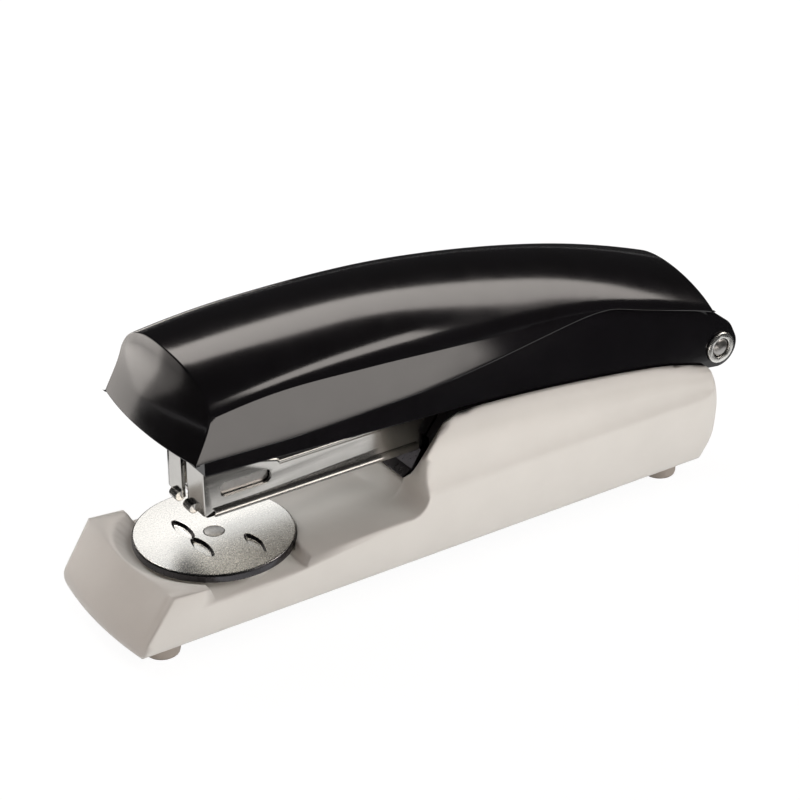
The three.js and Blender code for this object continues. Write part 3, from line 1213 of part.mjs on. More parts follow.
['right', 'left'].forEach((name, i) => {
  const y = (2 * i - 1) * DRIVER_RIVET_SPREAD;
  const front = DRIVER_FRONT_X - RUN;
  const back = MOUNT_FRONT_X + MOUNT_THICKNESS + RUN;
  const rivet = join(
    rodAlongX(DRIVER_RIVET_HEAD, front - DRIVER_RIVET_HEAD_HEIGHT, front, y, DRIVER_RIVET_Z),
    rodAlongX(DRIVER_RIVET_RADIUS, front - RUN, back + RUN, y, DRIVER_RIVET_Z),
    rodAlongX(DRIVER_RIVET_HEAD, back, back + DRIVER_RIVET_HEAD_HEIGHT, y, DRIVER_RIVET_Z),
  );
  piece(`driver_rivet_${name}`, rivet, ZINC);
});

// ---------------------------------------------------------------- cover

// The cover from the side: its leaning nose, lower edge and rear rim, moved inwards by the inset.
function coverProfile(inset) {
  const top = CROWN_PEAK + OVERCUT;
  const nose = COVER_NOSE_X + inset;
  const rear = COVER_REAR_X - inset;
  const creaseLevel = crown(COVER_NOSE_X) - COVER_DROPS[0][1];
  const noseLine = smooth([
    [nose + COVER_NOSE_TOP, top],
    [nose + COVER_NOSE_CREASE, creaseLevel],
    [nose, COVER_EDGE],
  ], CURVE_STEPS);
  const rearEdge = COVER_EDGE - COVER_REAR_FALL;
  const rearTop = rear - COVER_REAR_LEAN * (top - rearEdge);
  const edge = inset > 0
    ? [[nose, 0], [rear, 0], [rear, rearEdge]]
    : smooth([[nose, COVER_EDGE], ...COVER_EDGE_POINTS, [rear, rearEdge]], LENGTHWISE);
  const foot = inset > 0 ? noseLine : noseLine.slice(0, -1);
  return outline([...edge, [rearTop, top], ...foot]);
}

const coverDrops = smooth(COVER_DROPS, CURVE_STEPS * COVER_DROPS.length);

// How far the creases lie below the crown at a station.
function dropAt(x) {
  const i = Math.max(1, coverDrops.findIndex(([station]) => station >= x));
  const [[x0, drop0], [x1, drop1]] = [coverDrops[i - 1], coverDrops[i]];
  return THREE.MathUtils.mapLinear(x, x0, x1, drop0, drop1);
}

function coverForm(inset) {
  const widest = COVER_HALF_WIDTH + COVER_DRAFT * CROWN_PEAK;
  const sides = acrossY(coverProfile(inset), -widest, widest, CROSSWISE);
  warp(sides, (x, y, z) => {
    const atNose = x < COVER_NOSE_X + COVER_NOSE_TOP + COVER_WALL ? 1 : 0;
    return [x - bow(y, COVER_NOSE_BULGE, COVER_HALF_WIDTH) * atNose, y, z];
  });
  const depth = 1 - Math.sqrt(1 - COVER_ARC_FULLNESS ** 2);
  const arch = Array.from({ length: CROSSWISE + 1 }, (_, i) => {
    const across = Math.cos((Math.PI * i) / CROSSWISE);
    const fall = (1 - Math.sqrt(1 - (COVER_ARC_FULLNESS * across) ** 2)) / depth;
    return [across, -fall];
  });
  const reach = COVER_NOSE_BULGE + OVERCUT;
  const section = alongX(
    outline([...arch, [-1, -2], [1, -2]]), COVER_NOSE_X - reach, COVER_REAR_X + OVERCUT, LENGTHWISE,
  );
  // Levels 0 to -1 are the arch, from the crown to the creases, and -2 is the foot of the sides.
  warp(section, (x, across, level) => {
    const along = THREE.MathUtils.smoothstep(x, COVER_NARROWING_START, COVER_NARROWING_END);
    const halfWidth = THREE.MathUtils.lerp(COVER_HALF_WIDTH, COVER_REAR_HALF_WIDTH, along) - inset;
    const peak = crown(x) - inset;
    const drop = dropAt(x);
    if (level >= -1) return [x, across * halfWidth, peak + drop * level];
    return [x, across * (halfWidth + COVER_DRAFT * (peak - drop)), 0];
  });
  return common(sides, section);
}

function topCover() {
  const ribs = [COVER_RIB_FRONT_X, HANDLE_RIVET_X - COVER_RIB_AHEAD].map((x) => {
    const half = RIB_THICKNESS / 2;
    const foot = Math.max(armTop(x - half), armTop(x + half)) + RUN;
    const rib = block(x - half, x + half, -COVER_RIB_HALF_WIDTH, COVER_RIB_HALF_WIDTH, foot, CROWN_PEAK);
    return common(rib, coverForm(COVER_WALL / 2));
  });
  return join(cut(coverForm(0), coverForm(COVER_WALL)), ...ribs);
}

piece('top_cover', topCover(), GLOSS_BLACK);

const middle = new THREE.Box3().setFromObject(stapler).getCenter(new THREE.Vector3());
stapler.position.x = -middle.x;

export default stapler;
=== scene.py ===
import json
from contextlib import contextmanager
from math import asin, cos, pi, radians, sin, sqrt

import bmesh
import bpy
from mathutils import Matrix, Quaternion, Vector


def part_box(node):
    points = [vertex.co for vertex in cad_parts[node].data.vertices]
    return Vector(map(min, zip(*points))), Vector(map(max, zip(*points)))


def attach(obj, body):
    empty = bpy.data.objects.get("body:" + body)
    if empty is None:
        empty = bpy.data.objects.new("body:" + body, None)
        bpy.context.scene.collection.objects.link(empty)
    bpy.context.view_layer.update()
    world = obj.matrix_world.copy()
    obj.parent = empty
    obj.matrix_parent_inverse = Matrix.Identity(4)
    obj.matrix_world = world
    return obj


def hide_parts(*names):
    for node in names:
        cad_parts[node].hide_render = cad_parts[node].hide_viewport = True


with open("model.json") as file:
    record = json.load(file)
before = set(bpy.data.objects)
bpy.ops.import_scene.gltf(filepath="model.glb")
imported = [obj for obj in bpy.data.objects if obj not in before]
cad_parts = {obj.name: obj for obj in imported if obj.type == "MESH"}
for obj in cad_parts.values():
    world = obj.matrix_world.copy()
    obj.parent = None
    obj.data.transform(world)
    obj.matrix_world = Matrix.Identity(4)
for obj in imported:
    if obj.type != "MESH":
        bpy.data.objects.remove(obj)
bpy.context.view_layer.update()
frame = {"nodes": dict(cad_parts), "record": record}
nodes = frame["nodes"]

MM = 0.001


def middle(node):
    low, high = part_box(node)
    return (low + high) / 2


ANVIL_X = middle("anvil_disc").x


def at(x, y, z):
    """A place in metres, from millimetres behind the anvil's centre, across, and above the table."""
    return Vector((ANVIL_X + x * MM, y * MM, z * MM))


# ---------------------------------------------------------------- tools


def only(piece):
    bpy.ops.object.select_all(action="DESELECT")
    piece.select_set(True)
    bpy.context.view_layer.objects.active = piece


def start(primitive, name, stretch=(1, 1, 1), **settings):
    """Adds a primitive at its size, stretch and place."""
    bpy.ops.object.select_all(action="DESELECT")
    primitive(**settings)
    piece = bpy.context.object
    piece.scale = stretch
    piece.name = piece.data.name = name
    bpy.ops.object.transform_apply(location=True, rotation=True, scale=True)
    return piece


def copy_of(node, name):
    """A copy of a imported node's mesh with its loose triangles merged."""
    mesh = nodes[node].data.copy()
    mesh.materials.clear()
    piece = bpy.data.objects.new(name, mesh)
    bpy.context.scene.collection.objects.link(piece)
    with editing(piece):
        bpy.ops.mesh.select_all(action="SELECT")
        bpy.ops.mesh.remove_doubles(threshold=0.004 * MM)
    return piece


@contextmanager
def editing(piece):
    only(piece)
    bpy.ops.object.mode_set(mode="EDIT")
    bpy.ops.mesh.select_mode(type="VERT")
    bpy.ops.mesh.select_all(action="DESELECT")
    yield bmesh.from_edit_mesh(piece.data)
    bpy.ops.object.mode_set(mode="OBJECT")


def pick(form, kind, rule):
    """Selects the vertices, edges or faces that the rule takes, and nothing else."""
    bpy.ops.mesh.select_mode(type={"verts": "VERT", "edges": "EDGE", "faces": "FACE"}[kind])
    bpy.ops.mesh.select_all(action="DESELECT")
    for element in getattr(form, kind):
        if rule(element):
            element.select_set(True)
    form.select_flush_mode()


def draw_to(form, place):
    """Moves each selected point to the place that the rule gives for where it is now."""
    bpy.ops.mesh.select_mode(type="VERT")
    moves = [(v, place(v.co) - v.co) for v in form.verts if v.select]
    bpy.ops.mesh.select_all(action="DESELECT")
    for vertex, offset in moves:
        vertex.select_set(True)
        bpy.ops.transform.translate(value=offset)
        vertex.select_set(False)


def modify(piece, kind, **settings):
    """Adds a modifier with its settings and applies it."""
    only(piece)
    modifier = piece.modifiers.new(kind.lower(), kind)
    for name, value in settings.items():
        setattr(modifier, name, value)
    bpy.ops.object.modifier_apply(modifier=modifier.name)


def soften(piece, width, segments=3, angle=32):
    """Rounds the edges sharper than an angle, as a mould, a press or a tumbler leaves them."""
    modify(
        piece, "BEVEL", width=width * MM, segments=segments, limit_method="ANGLE",
        angle_limit=radians(angle), use_clamp_overlap=False, miter_outer="MITER_SHARP",
    )


def smooth(piece, angle=30, weighted=False):
    """Smooths the shading between faces that meet at less than an angle, and keeps large flat faces flat."""
    only(piece)
    bpy.ops.object.shade_smooth_by_angle(angle=radians(angle), keep_sharp_edges=True)
    if weighted:
        modify(piece, "WEIGHTED_NORMAL", keep_sharp=True, weight=80)


def finish(piece, body, material, slot, *stands_for):
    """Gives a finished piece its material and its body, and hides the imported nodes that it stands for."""
    piece.data.materials.clear()
    piece.data.materials.append(material)
    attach(piece, body)
    if stands_for:
        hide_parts(*stands_for)


# ---------------------------------------------------------------- materials


def colour(code):
    """A linear colour from its sRGB hex value."""
    channels = [int(code[i : i + 2], 16) / 255 for i in (1, 3, 5)]
    return [c / 12.92 if c <= 0.04045 else ((c + 0.055) / 1.055) ** 2.4 for c in channels] + [1]


def add(tree, kind, values=None, links=None, **settings):
    """Adds a node with its settings, its inputs' values and what is linked to them."""
    node = tree.nodes.new(kind)
    for name, value in settings.items():
        setattr(node, name, value)
    for name, value in (values or {}).items():
        node.inputs[name].default_value = value
    for name, source in (links or {}).items():
        tree.links.new(source, node.inputs[name])
    return node


def blank(name):
    material = bpy.data.materials.new(name)
    material.use_nodes = True
    material.node_tree.nodes.clear()
    return material, material.node_tree


def per(size):
    """A texture's scale for features of a size in millimetres, on coordinates in metres."""
    return 1 / (size * MM)


def surface(name, tints, roughness, grain, relief, grain_stretch=(1, 1, 1), cloud=9, edge=0, **shader):
    """A finish from two near colours, a range of roughness, and a grain's size and height in mm."""
    material, tree = blank(name)
    place = add(tree, "ShaderNodeTexCoord").outputs["Object"]
    drawn = add(tree, "ShaderNodeMapping", {"Scale": grain_stretch}, {"Vector": place}).outputs["Vector"]
    cloudy = add(tree, "ShaderNodeTexNoise", {"Scale": per(cloud), "Detail": 3}, {"Vector": place})
    grainy = add(tree, "ShaderNodeTexNoise", {"Scale": per(grain), "Detail": 4}, {"Vector": drawn})
    clouds, grains = cloudy.outputs["Fac"], grainy.outputs["Fac"]
    ramp = add(tree, "ShaderNodeValToRGB", links={"Fac": clouds})
    ramp.color_ramp.elements[0].position = 0.3
    ramp.color_ramp.elements[1].position = 0.7
    ramp.color_ramp.elements[0].color = colour(tints[0])
    ramp.color_ramp.elements[1].color = colour(tints[1])
    rough = add(
        tree, "ShaderNodeMapRange",
        {"From Min": 0.3, "From Max": 0.7, "To Min": roughness[0], "To Max": roughness[1]}, {"Value": grains},
    )
    bump = add(tree, "ShaderNodeBump", {"Strength": 1, "Distance": relief * MM}, {"Height": grains})
    if edge:
        rounded = add(tree, "ShaderNodeBevel", {"Radius": edge * MM}, samples=6)
        tree.links.new(rounded.outputs["Normal"], bump.inputs["Normal"])
    body = add(
        tree, "ShaderNodeBsdfPrincipled", shader,
        {
            "Base Color": ramp.outputs["Color"],
            "Roughness": rough.outputs["Result"],
            "Normal": bump.outputs["Normal"],
        },
    )
    add(tree, "ShaderNodeOutputMaterial", links={"Surface": body.outputs["BSDF"]})
    return material


# Moulded ABS in pale warm grey: satin, with soft broad highlights and a fine spark-eroded grain.
grey_abs = surface(
    "moulded_grey_abs", ("#DDDDD8", "#E1E1DC"), (0.36, 0.44), grain=0.35, relief=0.004, edge=1, IOR=1.53,
)
# Moulded glossy ABS in black: mirror-like with blurred edges, and a faint ripple from the mould.
black_abs = surface(
    "moulded_gloss_black_abs", ("#0D0C0E", "#100F12"), (0.12, 0.15), grain=4, relief=0.003, IOR=1.53,
)
# Stoved black enamel on steel: smooth and glossy, with a little orange peel.
black_enamel = surface(
    "stoved_black_enamel", ("#0C0B0E", "#100F12"), (0.1, 0.14), grain=1.6, relief=0.002, edge=0.3, IOR=1.5,
)
# Nickel-plated sheet steel: bright, a little soft, with the fine lines of the rolled sheet under it.
nickel_sheet = surface(
    "nickel_plated_sheet", ("#B9B7B3", "#C4C2BE"), (0.14, 0.2), grain=0.5, relief=0.0006,
    grain_stretch=(0.06, 1, 1), edge=0.25, Metallic=1,
)
# Nickel-plated and polished steel of the anvil: brighter, with hardly any lines.
nickel_plate = surface(
    "polished_nickel_plate", ("#E2E1DD", "#E6E5E1"), (0.26, 0.28), grain=0.7, relief=0.00003, Metallic=1,
)
# The anvil's rim and its grooves' walls: a darker metal that is painted dark reflection on the rim and painted
# shade in the grooves.
painted_dark_edge = surface(
    "dark_edge_painted_reflection", ("#454446", "#575558"), (0.2, 0.3), grain=0.4, relief=0.001, Metallic=1,
)
# Zinc-plated rivets and pins: duller and slightly blue, with a tumbled, cloudy roughness.
zinc_plate = surface(
    "zinc_plated_steel", ("#A09E9C", "#B0AEAB"), (0.26, 0.4), grain=0.6, relief=0.002, cloud=2, Metallic=1,
)
# Tempered spring steel: dark grey with a rolled sheen along the strip.
spring_strip = surface(
    "tempered_spring_steel", ("#56555A", "#646368"), (0.25, 0.38), grain=0.5, relief=0.001,
    grain_stretch=(0.1, 1, 1), Metallic=1,
)
# Phosphated and oiled steel of the bracket: near black, softly shining.
black_steel = surface(
    "blackened_oiled_steel", ("#343234", "#3E3C3E"), (0.34, 0.46), grain=0.5, relief=0.002,
    edge=0.25, Metallic=0.6,
)
# Moulded soft rubber of the feet, tinted to the base: matt, finely pitted.
soft_rubber = surface(
    "moulded_grey_rubber", ("#C9C3BB", "#CFC9C1"), (0.66, 0.8), grain=0.3, relief=0.01, IOR=1.52,
)
# Moulded nylon of the staple pusher: grey and waxy.
nylon = surface(
    "moulded_grey_nylon", ("#3A3A3B", "#424243"), (0.4, 0.5), grain=0.5, relief=0.004, IOR=1.53,
)

FINISHES = {
    "grey_moulding": grey_abs,
    "rubber_foot": soft_rubber,
    "bright_plating": nickel_sheet,
    "zinc_plating": zinc_plate,
    "spring_steel": spring_strip,
    "blackened_steel": black_steel,
    "black_paint": black_enamel,
    "black_moulding": black_abs,
    "nylon": nylon,
}


def slot_of(node):
    """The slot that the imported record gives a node."""
    for group in frame["record"]["materials"]:
        if node in group.get("nodes", []):
            return group["slot"]
    return nodes[node].data.materials[0].name


for name, node in nodes.items():
    finish_name = slot_of(name)
    node.data.materials.clear()
    node.data.materials.append(FINISHES.get(finish_name, grey_abs))

# ---------------------------------------------------------------- cover

CROWN_Z = 63.09
CROWN_X = 26.5
FRONT_RADIUS = 290
REAR_RADIUS = 240
CREASE_HALF_WIDTH = 17.6
REAR_HALF_WIDTH = 14.6
DRAFT = 0.055
DROPS = [(-16, 8.4), (4, 8.3), (26, 9.9), (48, 10.6), (66, 10.3), (88, 8.4), (120, 7.8)]
NOSE_LINE = [(43.9, -13.3), (52, -9.6), (64.1, -7.7)]
NOSE_BOW = 1.7
EDGE_Z = 43.9
EDGE_LINE = [
    (-13.3, 0), (-4, -0.2), (10, -0.5), (30, 0), (46, 0.7), (58, 1.5), (70, 2.5),
    (82, 3.4), (88, 3.1), (96, 0.8), (104.5, -1.7), (111, -3.6), (116.4, -5.3),
]
REAR_FOOT = (116.4, 38.6)
REAR_LEAN = 0.48
FULLNESS = 0.985
ARCH_DEPTH = 1 - sqrt(1 - FULLNESS**2)
SIDE_LEAST = 3.2
WALL = 1.5
STATIONS = 60
FACETS = 32
SIDE_CUTS = 6


def along(points, t):
    """A smooth line's height at a station."""
    count = len(points)
    i = max(0, min(count - 2, sum(1 for p in points if p[0] <= t) - 1))
    (x0, y0), (x1, y1) = points[i], points[i + 1]
    before, after = points[max(0, i - 1)], points[min(count - 1, i + 2)]
    m0 = (y1 - before[1]) / (x1 - before[0])
    m1 = (after[1] - y0) / (after[0] - x0)
    span = x1 - x0
    u = (t - x0) / span
    return (
        (2 * u**3 - 3 * u**2 + 1) * y0 + (u**3 - 2 * u**2 + u) * span * m0
        + (3 * u**2 - 2 * u**3) * y1 + (u**3 - u**2) * span * m1
    )


def crown(x):
    radius = FRONT_RADIUS if x < CROWN_X else REAR_RADIUS
    return CROWN_Z - radius + sqrt(radius**2 - (x - CROWN_X) ** 2)


def half_width(x):
    u = max(0, min(1, (x - 36) / 54))
    return CREASE_HALF_WIDTH + (REAR_HALF_WIDTH - CREASE_HALF_WIDTH) * u * u * (3 - 2 * u)


def nose_x(across, z):
    return along(NOSE_LINE, z) - NOSE_BOW * (1 - min(1, abs(across) / CREASE_HALF_WIDTH) ** 2)


def rear_x(z):
    return REAR_FOOT[0] - REAR_LEAN * (z - REAR_FOOT[1])


def edge_z(x):
    return EDGE_Z + along(EDGE_LINE, x)


def crease_z(x):
    return crown(x) - along(DROPS, x)


def rim_z(x):
    """Where the arch's columns end and the sides' rows begin."""
    return max(crease_z(x), edge_z(x) + SIDE_LEAST)


def cover_half(x, z):
    """The cover's half-width at a station and a height."""
    if z <= crease_z(x):
        return half_width(x) + DRAFT * (crease_z(x) - z)
    rise = 1 - (crown(x) - z) / along(DROPS, x) * ARCH_DEPTH
    return half_width(x) * sqrt(1 - rise**2) / FULLNESS


def cover_point(share, across, down):
    """A point of the cover's outside, from its shares of the way back, across and down to the edge."""
    x = NOSE_LINE[0][1] + share * (REAR_FOOT[0] - NOSE_LINE[0][1])
    for _ in range(8):
        rim = rim_z(x)
        reach = across * cover_half(x, rim) / half_width(x)
        arch = crown(x) - along(DROPS, x) * (1 - sqrt(1 - (FULLNESS * reach) ** 2)) / ARCH_DEPTH
        z = arch + down * (edge_z(x) - arch)
        y = across * cover_half(x, min(z, rim))
        x = nose_x(y, z) * (1 - share) + rear_x(z) * share
    return at(x, y, z)


def cover_shell():
    """The moulded cap: an arched top drawn out of a grid, sides and ends drawn down, then a wall."""
    shell = start(
        bpy.ops.mesh.primitive_grid_add, "cover_shell", x_subdivisions=STATIONS, y_subdivisions=FACETS, size=1,
    )
    half_turn = asin(FULLNESS)

    def share_of(co):
        return co.x + 0.5

    def across_of(co):
        return sin(2 * co.y * half_turn) / FULLNESS

    with editing(shell) as form:
        pick(form, "edges", lambda e: e.is_boundary)
        level = -1
        for _ in range(SIDE_CUTS + 1):
            bpy.ops.mesh.extrude_edges_move(TRANSFORM_OT_translate={"value": (0, 0, level)})
        bpy.ops.mesh.select_all(action="SELECT")
        draw_to(form, lambda co: cover_point(share_of(co), across_of(co), -co.z / (SIDE_CUTS + 1)))
        bpy.ops.mesh.select_all(action="SELECT")
        bpy.ops.mesh.normals_make_consistent(inside=False)
        pick(form, "edges", lambda e: len(e.link_faces) == 2 and is_crease(e))
        bpy.ops.mesh.mark_sharp()
    modify(shell, "SOLIDIFY", thickness=WALL * MM, offset=-1, use_even_offset=True)
    soften(shell, 0.25)
    smooth(shell, weighted=True)
    return shell


def is_crease(edge):
    """Whether an edge is where the arch meets a side."""
    for vertex in edge.verts:
        x, y, z = [c / MM for c in (vertex.co - at(0, 0, 0))]
        if abs(z - crease_z(x)) > 0.02 or abs(abs(y) - half_width(x)) > 0.02:
            return False
    return True


finish(cover_shell(), "arm", black_abs, "black_moulding", "top_cover")

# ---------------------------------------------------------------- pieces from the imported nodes

for node, body, material, slot in (
    ("base_shell", "base", grey_abs, "grey_moulding"),
    ("base_bracket", "base", black_steel, "blackened_steel"),
    ("arm_frame", "arm", black_enamel, "black_paint"),
    ("magazine", "magazine", nickel_sheet, "bright_plating"),
    ("lift_spring", "base", spring_strip, "spring_steel"),
):
    piece = copy_of(node, node + "_finished")
    smooth(piece, weighted=True)
    finish(piece, body, material, slot, node)

for node, body, material, slot, width in (
    ("foot_front_left", "base", soft_rubber, "rubber_foot", 0.5),
    ("foot_front_right", "base", soft_rubber, "rubber_foot", 0.5),
    ("foot_rear_left", "base", soft_rubber, "rubber_foot", 0.5),
    ("foot_rear_right", "base", soft_rubber, "rubber_foot", 0.5),
    ("anvil_rivet", "anvil", zinc_plate, "zinc_plating", 0.15),
    ("hinge_pin", "base", zinc_plate, "zinc_plating", 0.2),
    ("hinge_eyelet_left", "arm", nickel_plate, "bright_plating", 0.16),
    ("hinge_eyelet_right", "arm", nickel_plate, "bright_plating", 0.16),
):
    piece = copy_of(node, node + "_rounded")
    with editing(piece):
        bpy.ops.mesh.select_all(action="SELECT")
        bpy.ops.mesh.dissolve_limited(angle_limit=radians(1))
    soften(piece, width)
    smooth(piece)
    finish(piece, body, material, slot, node)

# ---------------------------------------------------------------- anvil

ANVIL_LOW, ANVIL_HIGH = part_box("anvil_disc")
ANVIL_TOP = ANVIL_HIGH.z / MM
ANVIL_SKIRT = 0.5
ANVIL_RADIUS = (ANVIL_HIGH.x - ANVIL_LOW.x) / 2
ANVIL_LIP = 1.2
ANVIL_ROLL = 0.45
RIVET_PLAY = 0.05
GROOVE_DEPTH = 0.8
# Behind the centre, across, half-width, half-length, and how far the outer end narrows.
GROOVES = [(-4.9, 4.0, 1.45, 4.2, 0.15), (4.7, 8.4, 1.35, 4.1, 0.6)]


def cut(piece, cutter):
    modify(piece, "BOOLEAN", object=cutter, operation="DIFFERENCE", solver="EXACT")
    bpy.data.objects.remove(cutter)


def bowl(x, y, half_width, half_length, depth, pointed=0):
    """A cutter for a pressed groove: a shallow egg, narrower outwards if it is pointed."""
    lift = 0.3
    egg = start(
        bpy.ops.mesh.primitive_uv_sphere_add, "bowl", segments=48, ring_count=24, radius=MM,
        location=at(x, y, ANVIL_TOP + lift), stretch=(half_width, half_length, 2 * depth),
    )
    side = 1 if y > 0 else -1
    middle_of_egg = at(x, y, 0)

    def narrowed(co):
        out = max(0, side * (co.y - middle_of_egg.y) / (half_length * MM))
        return Vector((middle_of_egg.x + (co.x - middle_of_egg.x) * (1 - pointed * out), co.y, co.z))

    with editing(egg) as form:
        if pointed:
            pick(form, "verts", lambda v: side * (v.co.y - middle_of_egg.y) > 0)
            draw_to(form, narrowed)
        bpy.ops.mesh.select_all(action="SELECT")
        bpy.ops.mesh.bisect(
            plane_co=at(0, 0, ANVIL_TOP - depth), plane_no=(0, 0, 1), clear_inner=True, use_fill=True,
            threshold=1e-7,
        )
    return egg


def anvil_plate():
    """The turning plate: a disc with a rolled edge, a recessed underside, a rivet's hole and grooves."""
    plate = start(
        bpy.ops.mesh.primitive_cylinder_add, "anvil_plate", vertices=128, radius=ANVIL_RADIUS,
        depth=ANVIL_HIGH.z - ANVIL_LOW.z, location=(ANVIL_LOW + ANVIL_HIGH) / 2,
    )
    with editing(plate) as form:
        pick(form, "faces", lambda f: f.normal.z < -0.9)
        bpy.ops.mesh.inset(thickness=ANVIL_LIP * MM)
        bpy.ops.transform.translate(value=(0, 0, ANVIL_SKIRT * MM))
        pick(form, "edges", lambda e: all(v.co.z > ANVIL_HIGH.z - MM / 10 for v in e.verts))
        bpy.ops.mesh.bevel(offset=ANVIL_ROLL * MM, segments=5, affect="EDGES")
    rivet_low, rivet_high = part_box("anvil_rivet")
    cut(plate, start(
        bpy.ops.mesh.primitive_cylinder_add, "rivet_hole", vertices=48,
        radius=(rivet_high.x - rivet_low.x) / 2 + RIVET_PLAY * MM, depth=8 * MM, location=at(0, 0, ANVIL_TOP),
    ))
    for groove in GROOVES:
        for side in (1, -1):
            x, y, half_width, half_length, pointed = groove
            cut(plate, bowl(x, side * y, half_width, half_length, GROOVE_DEPTH, pointed))
    soften(plate, 0.12, 2, 40)
    smooth(plate, 35, weighted=True)
    return plate


def paint_dark_edges(plate, material):
    """Gives the plate's rim and its grooves' walls a darker metal: painted dark reflection on the rim, painted
    shade on the walls.
    """
    plate.data.materials.append(material)
    middle_of_plate = (ANVIL_LOW + ANVIL_HIGH) / 2
    for face in plate.data.polygons:
        out = (face.center - middle_of_plate).xy.length
        rim = out > ANVIL_RADIUS - 0.5 * MM
        if (rim or out > 2.4 * MM and face.center.z > ANVIL_HIGH.z - MM) and abs(face.normal.z) < 0.8:
            face.material_index = 1


anvil = anvil_plate()
finish(anvil, "anvil", nickel_plate, "bright_plating", "anvil_disc")
# The darker metal on the rim and the grooves' walls is painted reflection and painted shade.
paint_dark_edges(anvil, painted_dark_edge)

# ---------------------------------------------------------------- studio


def seen_plainly(tree):
    """1 for what is seen straight, in a reflection or through glass, and 0 for light that bounces."""
    path = add(tree, "ShaderNodeLightPath")
    either = add(
        tree, "ShaderNodeMath", links={0: path.outputs["Is Camera Ray"], 1: path.outputs["Is Glossy Ray"]},
        operation="MAXIMUM",
    )
    return add(
        tree, "ShaderNodeMath", links={0: either.outputs[0], 1: path.outputs["Is Transmission Ray"]},
        operation="MAXIMUM",
    ).outputs[0]


def make_floor():
    floor = start(bpy.ops.mesh.primitive_circle_add, "floor", vertices=64, radius=12, fill_type="NGON")
    material, tree = blank("white_paper_floor")
    lit = add(tree, "ShaderNodeBsdfDiffuse", {"Color": colour("#F0F0F0")})
    shade = add(tree, "ShaderNodeBsdfDiffuse", {"Color": (0.12, 0.12, 0.12, 1)})
    white = add(tree, "ShaderNodeEmission", {"Color": (1, 1, 1, 1), "Strength": 0.94})
    shown = add(tree, "ShaderNodeAddShader", links={0: shade.outputs[0], 1: white.outputs[0]})
    mix = add(
        tree, "ShaderNodeMixShader", links={0: seen_plainly(tree), 1: lit.outputs[0], 2: shown.outputs[0]},
    )
    add(tree, "ShaderNodeOutputMaterial", links={"Surface": mix.outputs[0]})
    floor.data.materials.append(material)


def make_world():
    world = bpy.data.worlds.new("studio")
    bpy.context.scene.world = world
    world.use_nodes = True
    tree = world.node_tree
    tree.nodes.clear()
    room = add(tree, "ShaderNodeBackground", {"Color": colour("#FFD9C6"), "Strength": 0.2})
    white = add(tree, "ShaderNodeBackground", {"Color": (1, 1, 1, 1), "Strength": 1})
    mix = add(
        tree, "ShaderNodeMixShader", links={0: seen_plainly(tree), 1: room.outputs[0], 2: white.outputs[0]},
    )
    add(tree, "ShaderNodeOutputWorld", links={"Surface": mix.outputs[0]})


def make_flag():
    """A dark velvet tent over the set, which only reflections see, so that the black gloss stays black."""
    flag = start(bpy.ops.mesh.primitive_uv_sphere_add, "velvet_tent", segments=48, ring_count=24, radius=11)
    with editing(flag) as form:
        pick(form, "verts", lambda v: v.co.z < -0.01)
        bpy.ops.mesh.delete(type="VERT")
        bpy.ops.mesh.select_all(action="SELECT")
        bpy.ops.mesh.flip_normals()
    material, tree = blank("grey_velvet")
    dim = add(tree, "ShaderNodeEmission", {"Color": (1, 1, 1, 1), "Strength": 0.03})
    add(tree, "ShaderNodeOutputMaterial", links={"Surface": dim.outputs[0]})
    flag.data.materials.append(material)
    hang(flag)


def hang(cloth):
    """Makes a piece of the set one that only reflections see."""
    if not cloth.data.materials:
        cloth.data.materials.append(bpy.data.materials["grey_velvet"])
    cloth.visible_camera = cloth.visible_diffuse = cloth.visible_shadow = cloth.visible_transmission = False


def velvet(name, x, y):
    """A dark cloth on the floor, which only reflections see, from its reach along and across in metres."""
    cloth = start(
        bpy.ops.mesh.primitive_plane_add, name, size=1, location=(sum(x) / 2, sum(y) / 2, 0.3 * MM),
        stretch=(x[1] - x[0], y[1] - y[0], 1),
    )
    hang(cloth)


def softbox(name, place, aim, size, radiance, glossy=True, diffuse=True, turn=0, tint="#FFFFFF"):
    """A rectangular lamp, from its place, what it faces, its size and how bright its face is (1 is white)."""
    lamp = bpy.data.lights.new(name, "AREA")
    lamp.shape = "RECTANGLE"
    lamp.size, lamp.size_y = size
    lamp.energy = radiance * pi * size[0] * size[1]
    lamp.color = colour(tint)[:3]
    box = bpy.data.objects.new(name, lamp)
    bpy.context.scene.collection.objects.link(box)
    box.location = place
    box.rotation_mode = "QUATERNION"
    facing = (Vector(place) - Vector(aim)).to_track_quat("Z", "Y")
    box.rotation_quaternion = facing @ Quaternion((0, 0, 1), radians(turn))
    box.visible_camera = False
    box.visible_glossy = glossy
    box.visible_diffuse = diffuse


def from_angles(azimuth, elevation, distance):
    """A place round the set: azimuth 0 is +Y, and 90 is +X."""
    a, e = radians(azimuth), radians(elevation)
    return Vector((sin(a) * cos(e), cos(a) * cos(e), sin(e))) * distance + Vector((0, 0, 0.04))


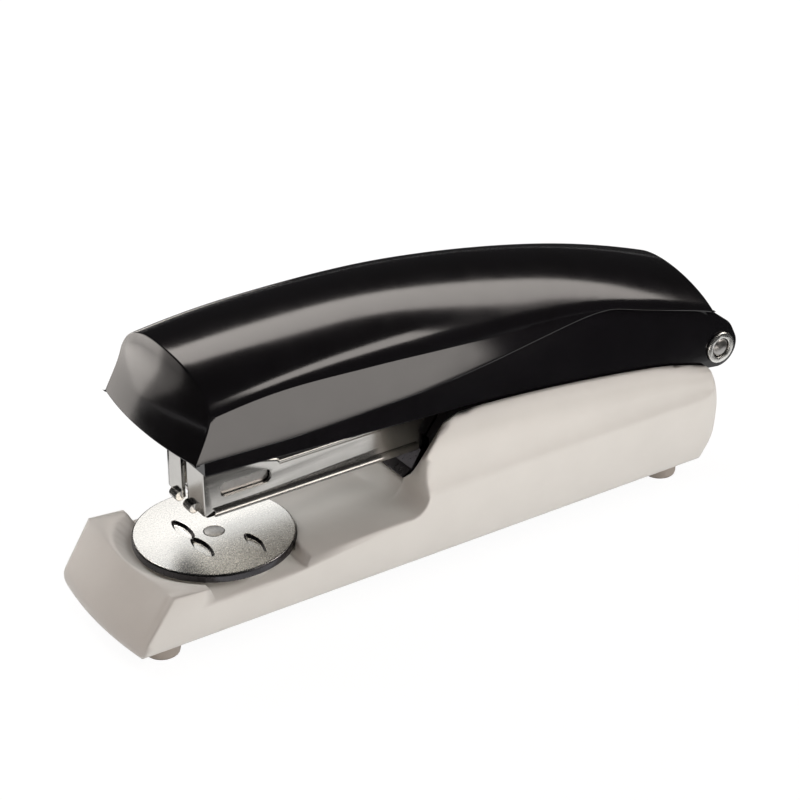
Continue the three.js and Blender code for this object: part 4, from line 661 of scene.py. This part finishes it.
make_floor()
make_world()
make_flag()
velvet("velvet_front", (-0.13, 3), (-3, -0.05))
velvet("velvet_behind", (-2, 3), (0.06, 4))
velvet("velvet_ahead", (-3, -0.16), (-3, 0.06))
velvet("velvet_after", (0.12, 3), (-0.05, 0.06))
TARGET = Vector((0, 0, 0.04))
WARM = "#FFF8F2"
softbox("strip", (1.2, -0.21, 1.05), (1.2, -0.21, 0), (3.4, 0.5), 5.2, diffuse=False, turn=-45, tint=WARM)
softbox("key", from_angles(158, 40, 1.4), TARGET, (1.2, 0.8), 2.4, glossy=False)
softbox("top_fill", (-0.1, 0.2, 1.3), (0, 0, 0.03), (1.0, 1.0), 1.1, glossy=False)
softbox("nose_fill", from_angles(-12, 22, 1), (-0.06, 0, 0.02), (0.5, 0.5), 6, glossy=False)
softbox("floor_glow", (0.07, -0.165, 0.0012), (0.07, -0.165, 1), (0.3, 0.29), 0.5, glossy=False)
softbox("streak", from_angles(147, 34, 1.2), TARGET, (0.44, 0.26), 5.8, diffuse=False, tint=WARM)
softbox("anvil_card", (-0.02, 0.043, 0.045), (-0.02, 0.043, 0), (0.06, 0.046), 1.1, diffuse=False)
softbox("nose_card", (-0.294, 0.658, 0.0015), (-0.294, 0.658, 1), (0.35, 1.05), 2.2, turn=-34, tint=WARM)
softbox("nose_screen", (-0.51, 1.11, 0.16), (-0.06, 0, 0.05), (0.5, 0.32), 2.1, diffuse=False, tint=WARM)
softbox("nose_card_edge", (-0.444, 0.557, 0.0015), (-0.444, 0.557, 1), (0.09, 1.05), 0.8, turn=-36, tint=WARM)
softbox("floor_card", at(58, -134, 1.5), at(58, -134, 100), (0.15, 0.08), 3.6, tint=WARM)

# ---------------------------------------------------------------- camera

camera = bpy.data.objects.new("camera", bpy.data.cameras.new("camera"))
bpy.context.scene.collection.objects.link(camera)
camera.data.lens = 108.72
camera.data.sensor_width = 36
camera.data.clip_start = 0.01
camera.location = (-0.24681, -0.3624, 0.2712)
camera.rotation_euler = (radians(90 - 28.71), 0, radians(-33.82))
bpy.context.scene.camera = camera
bpy.context.scene.view_settings.view_transform = "Standard"
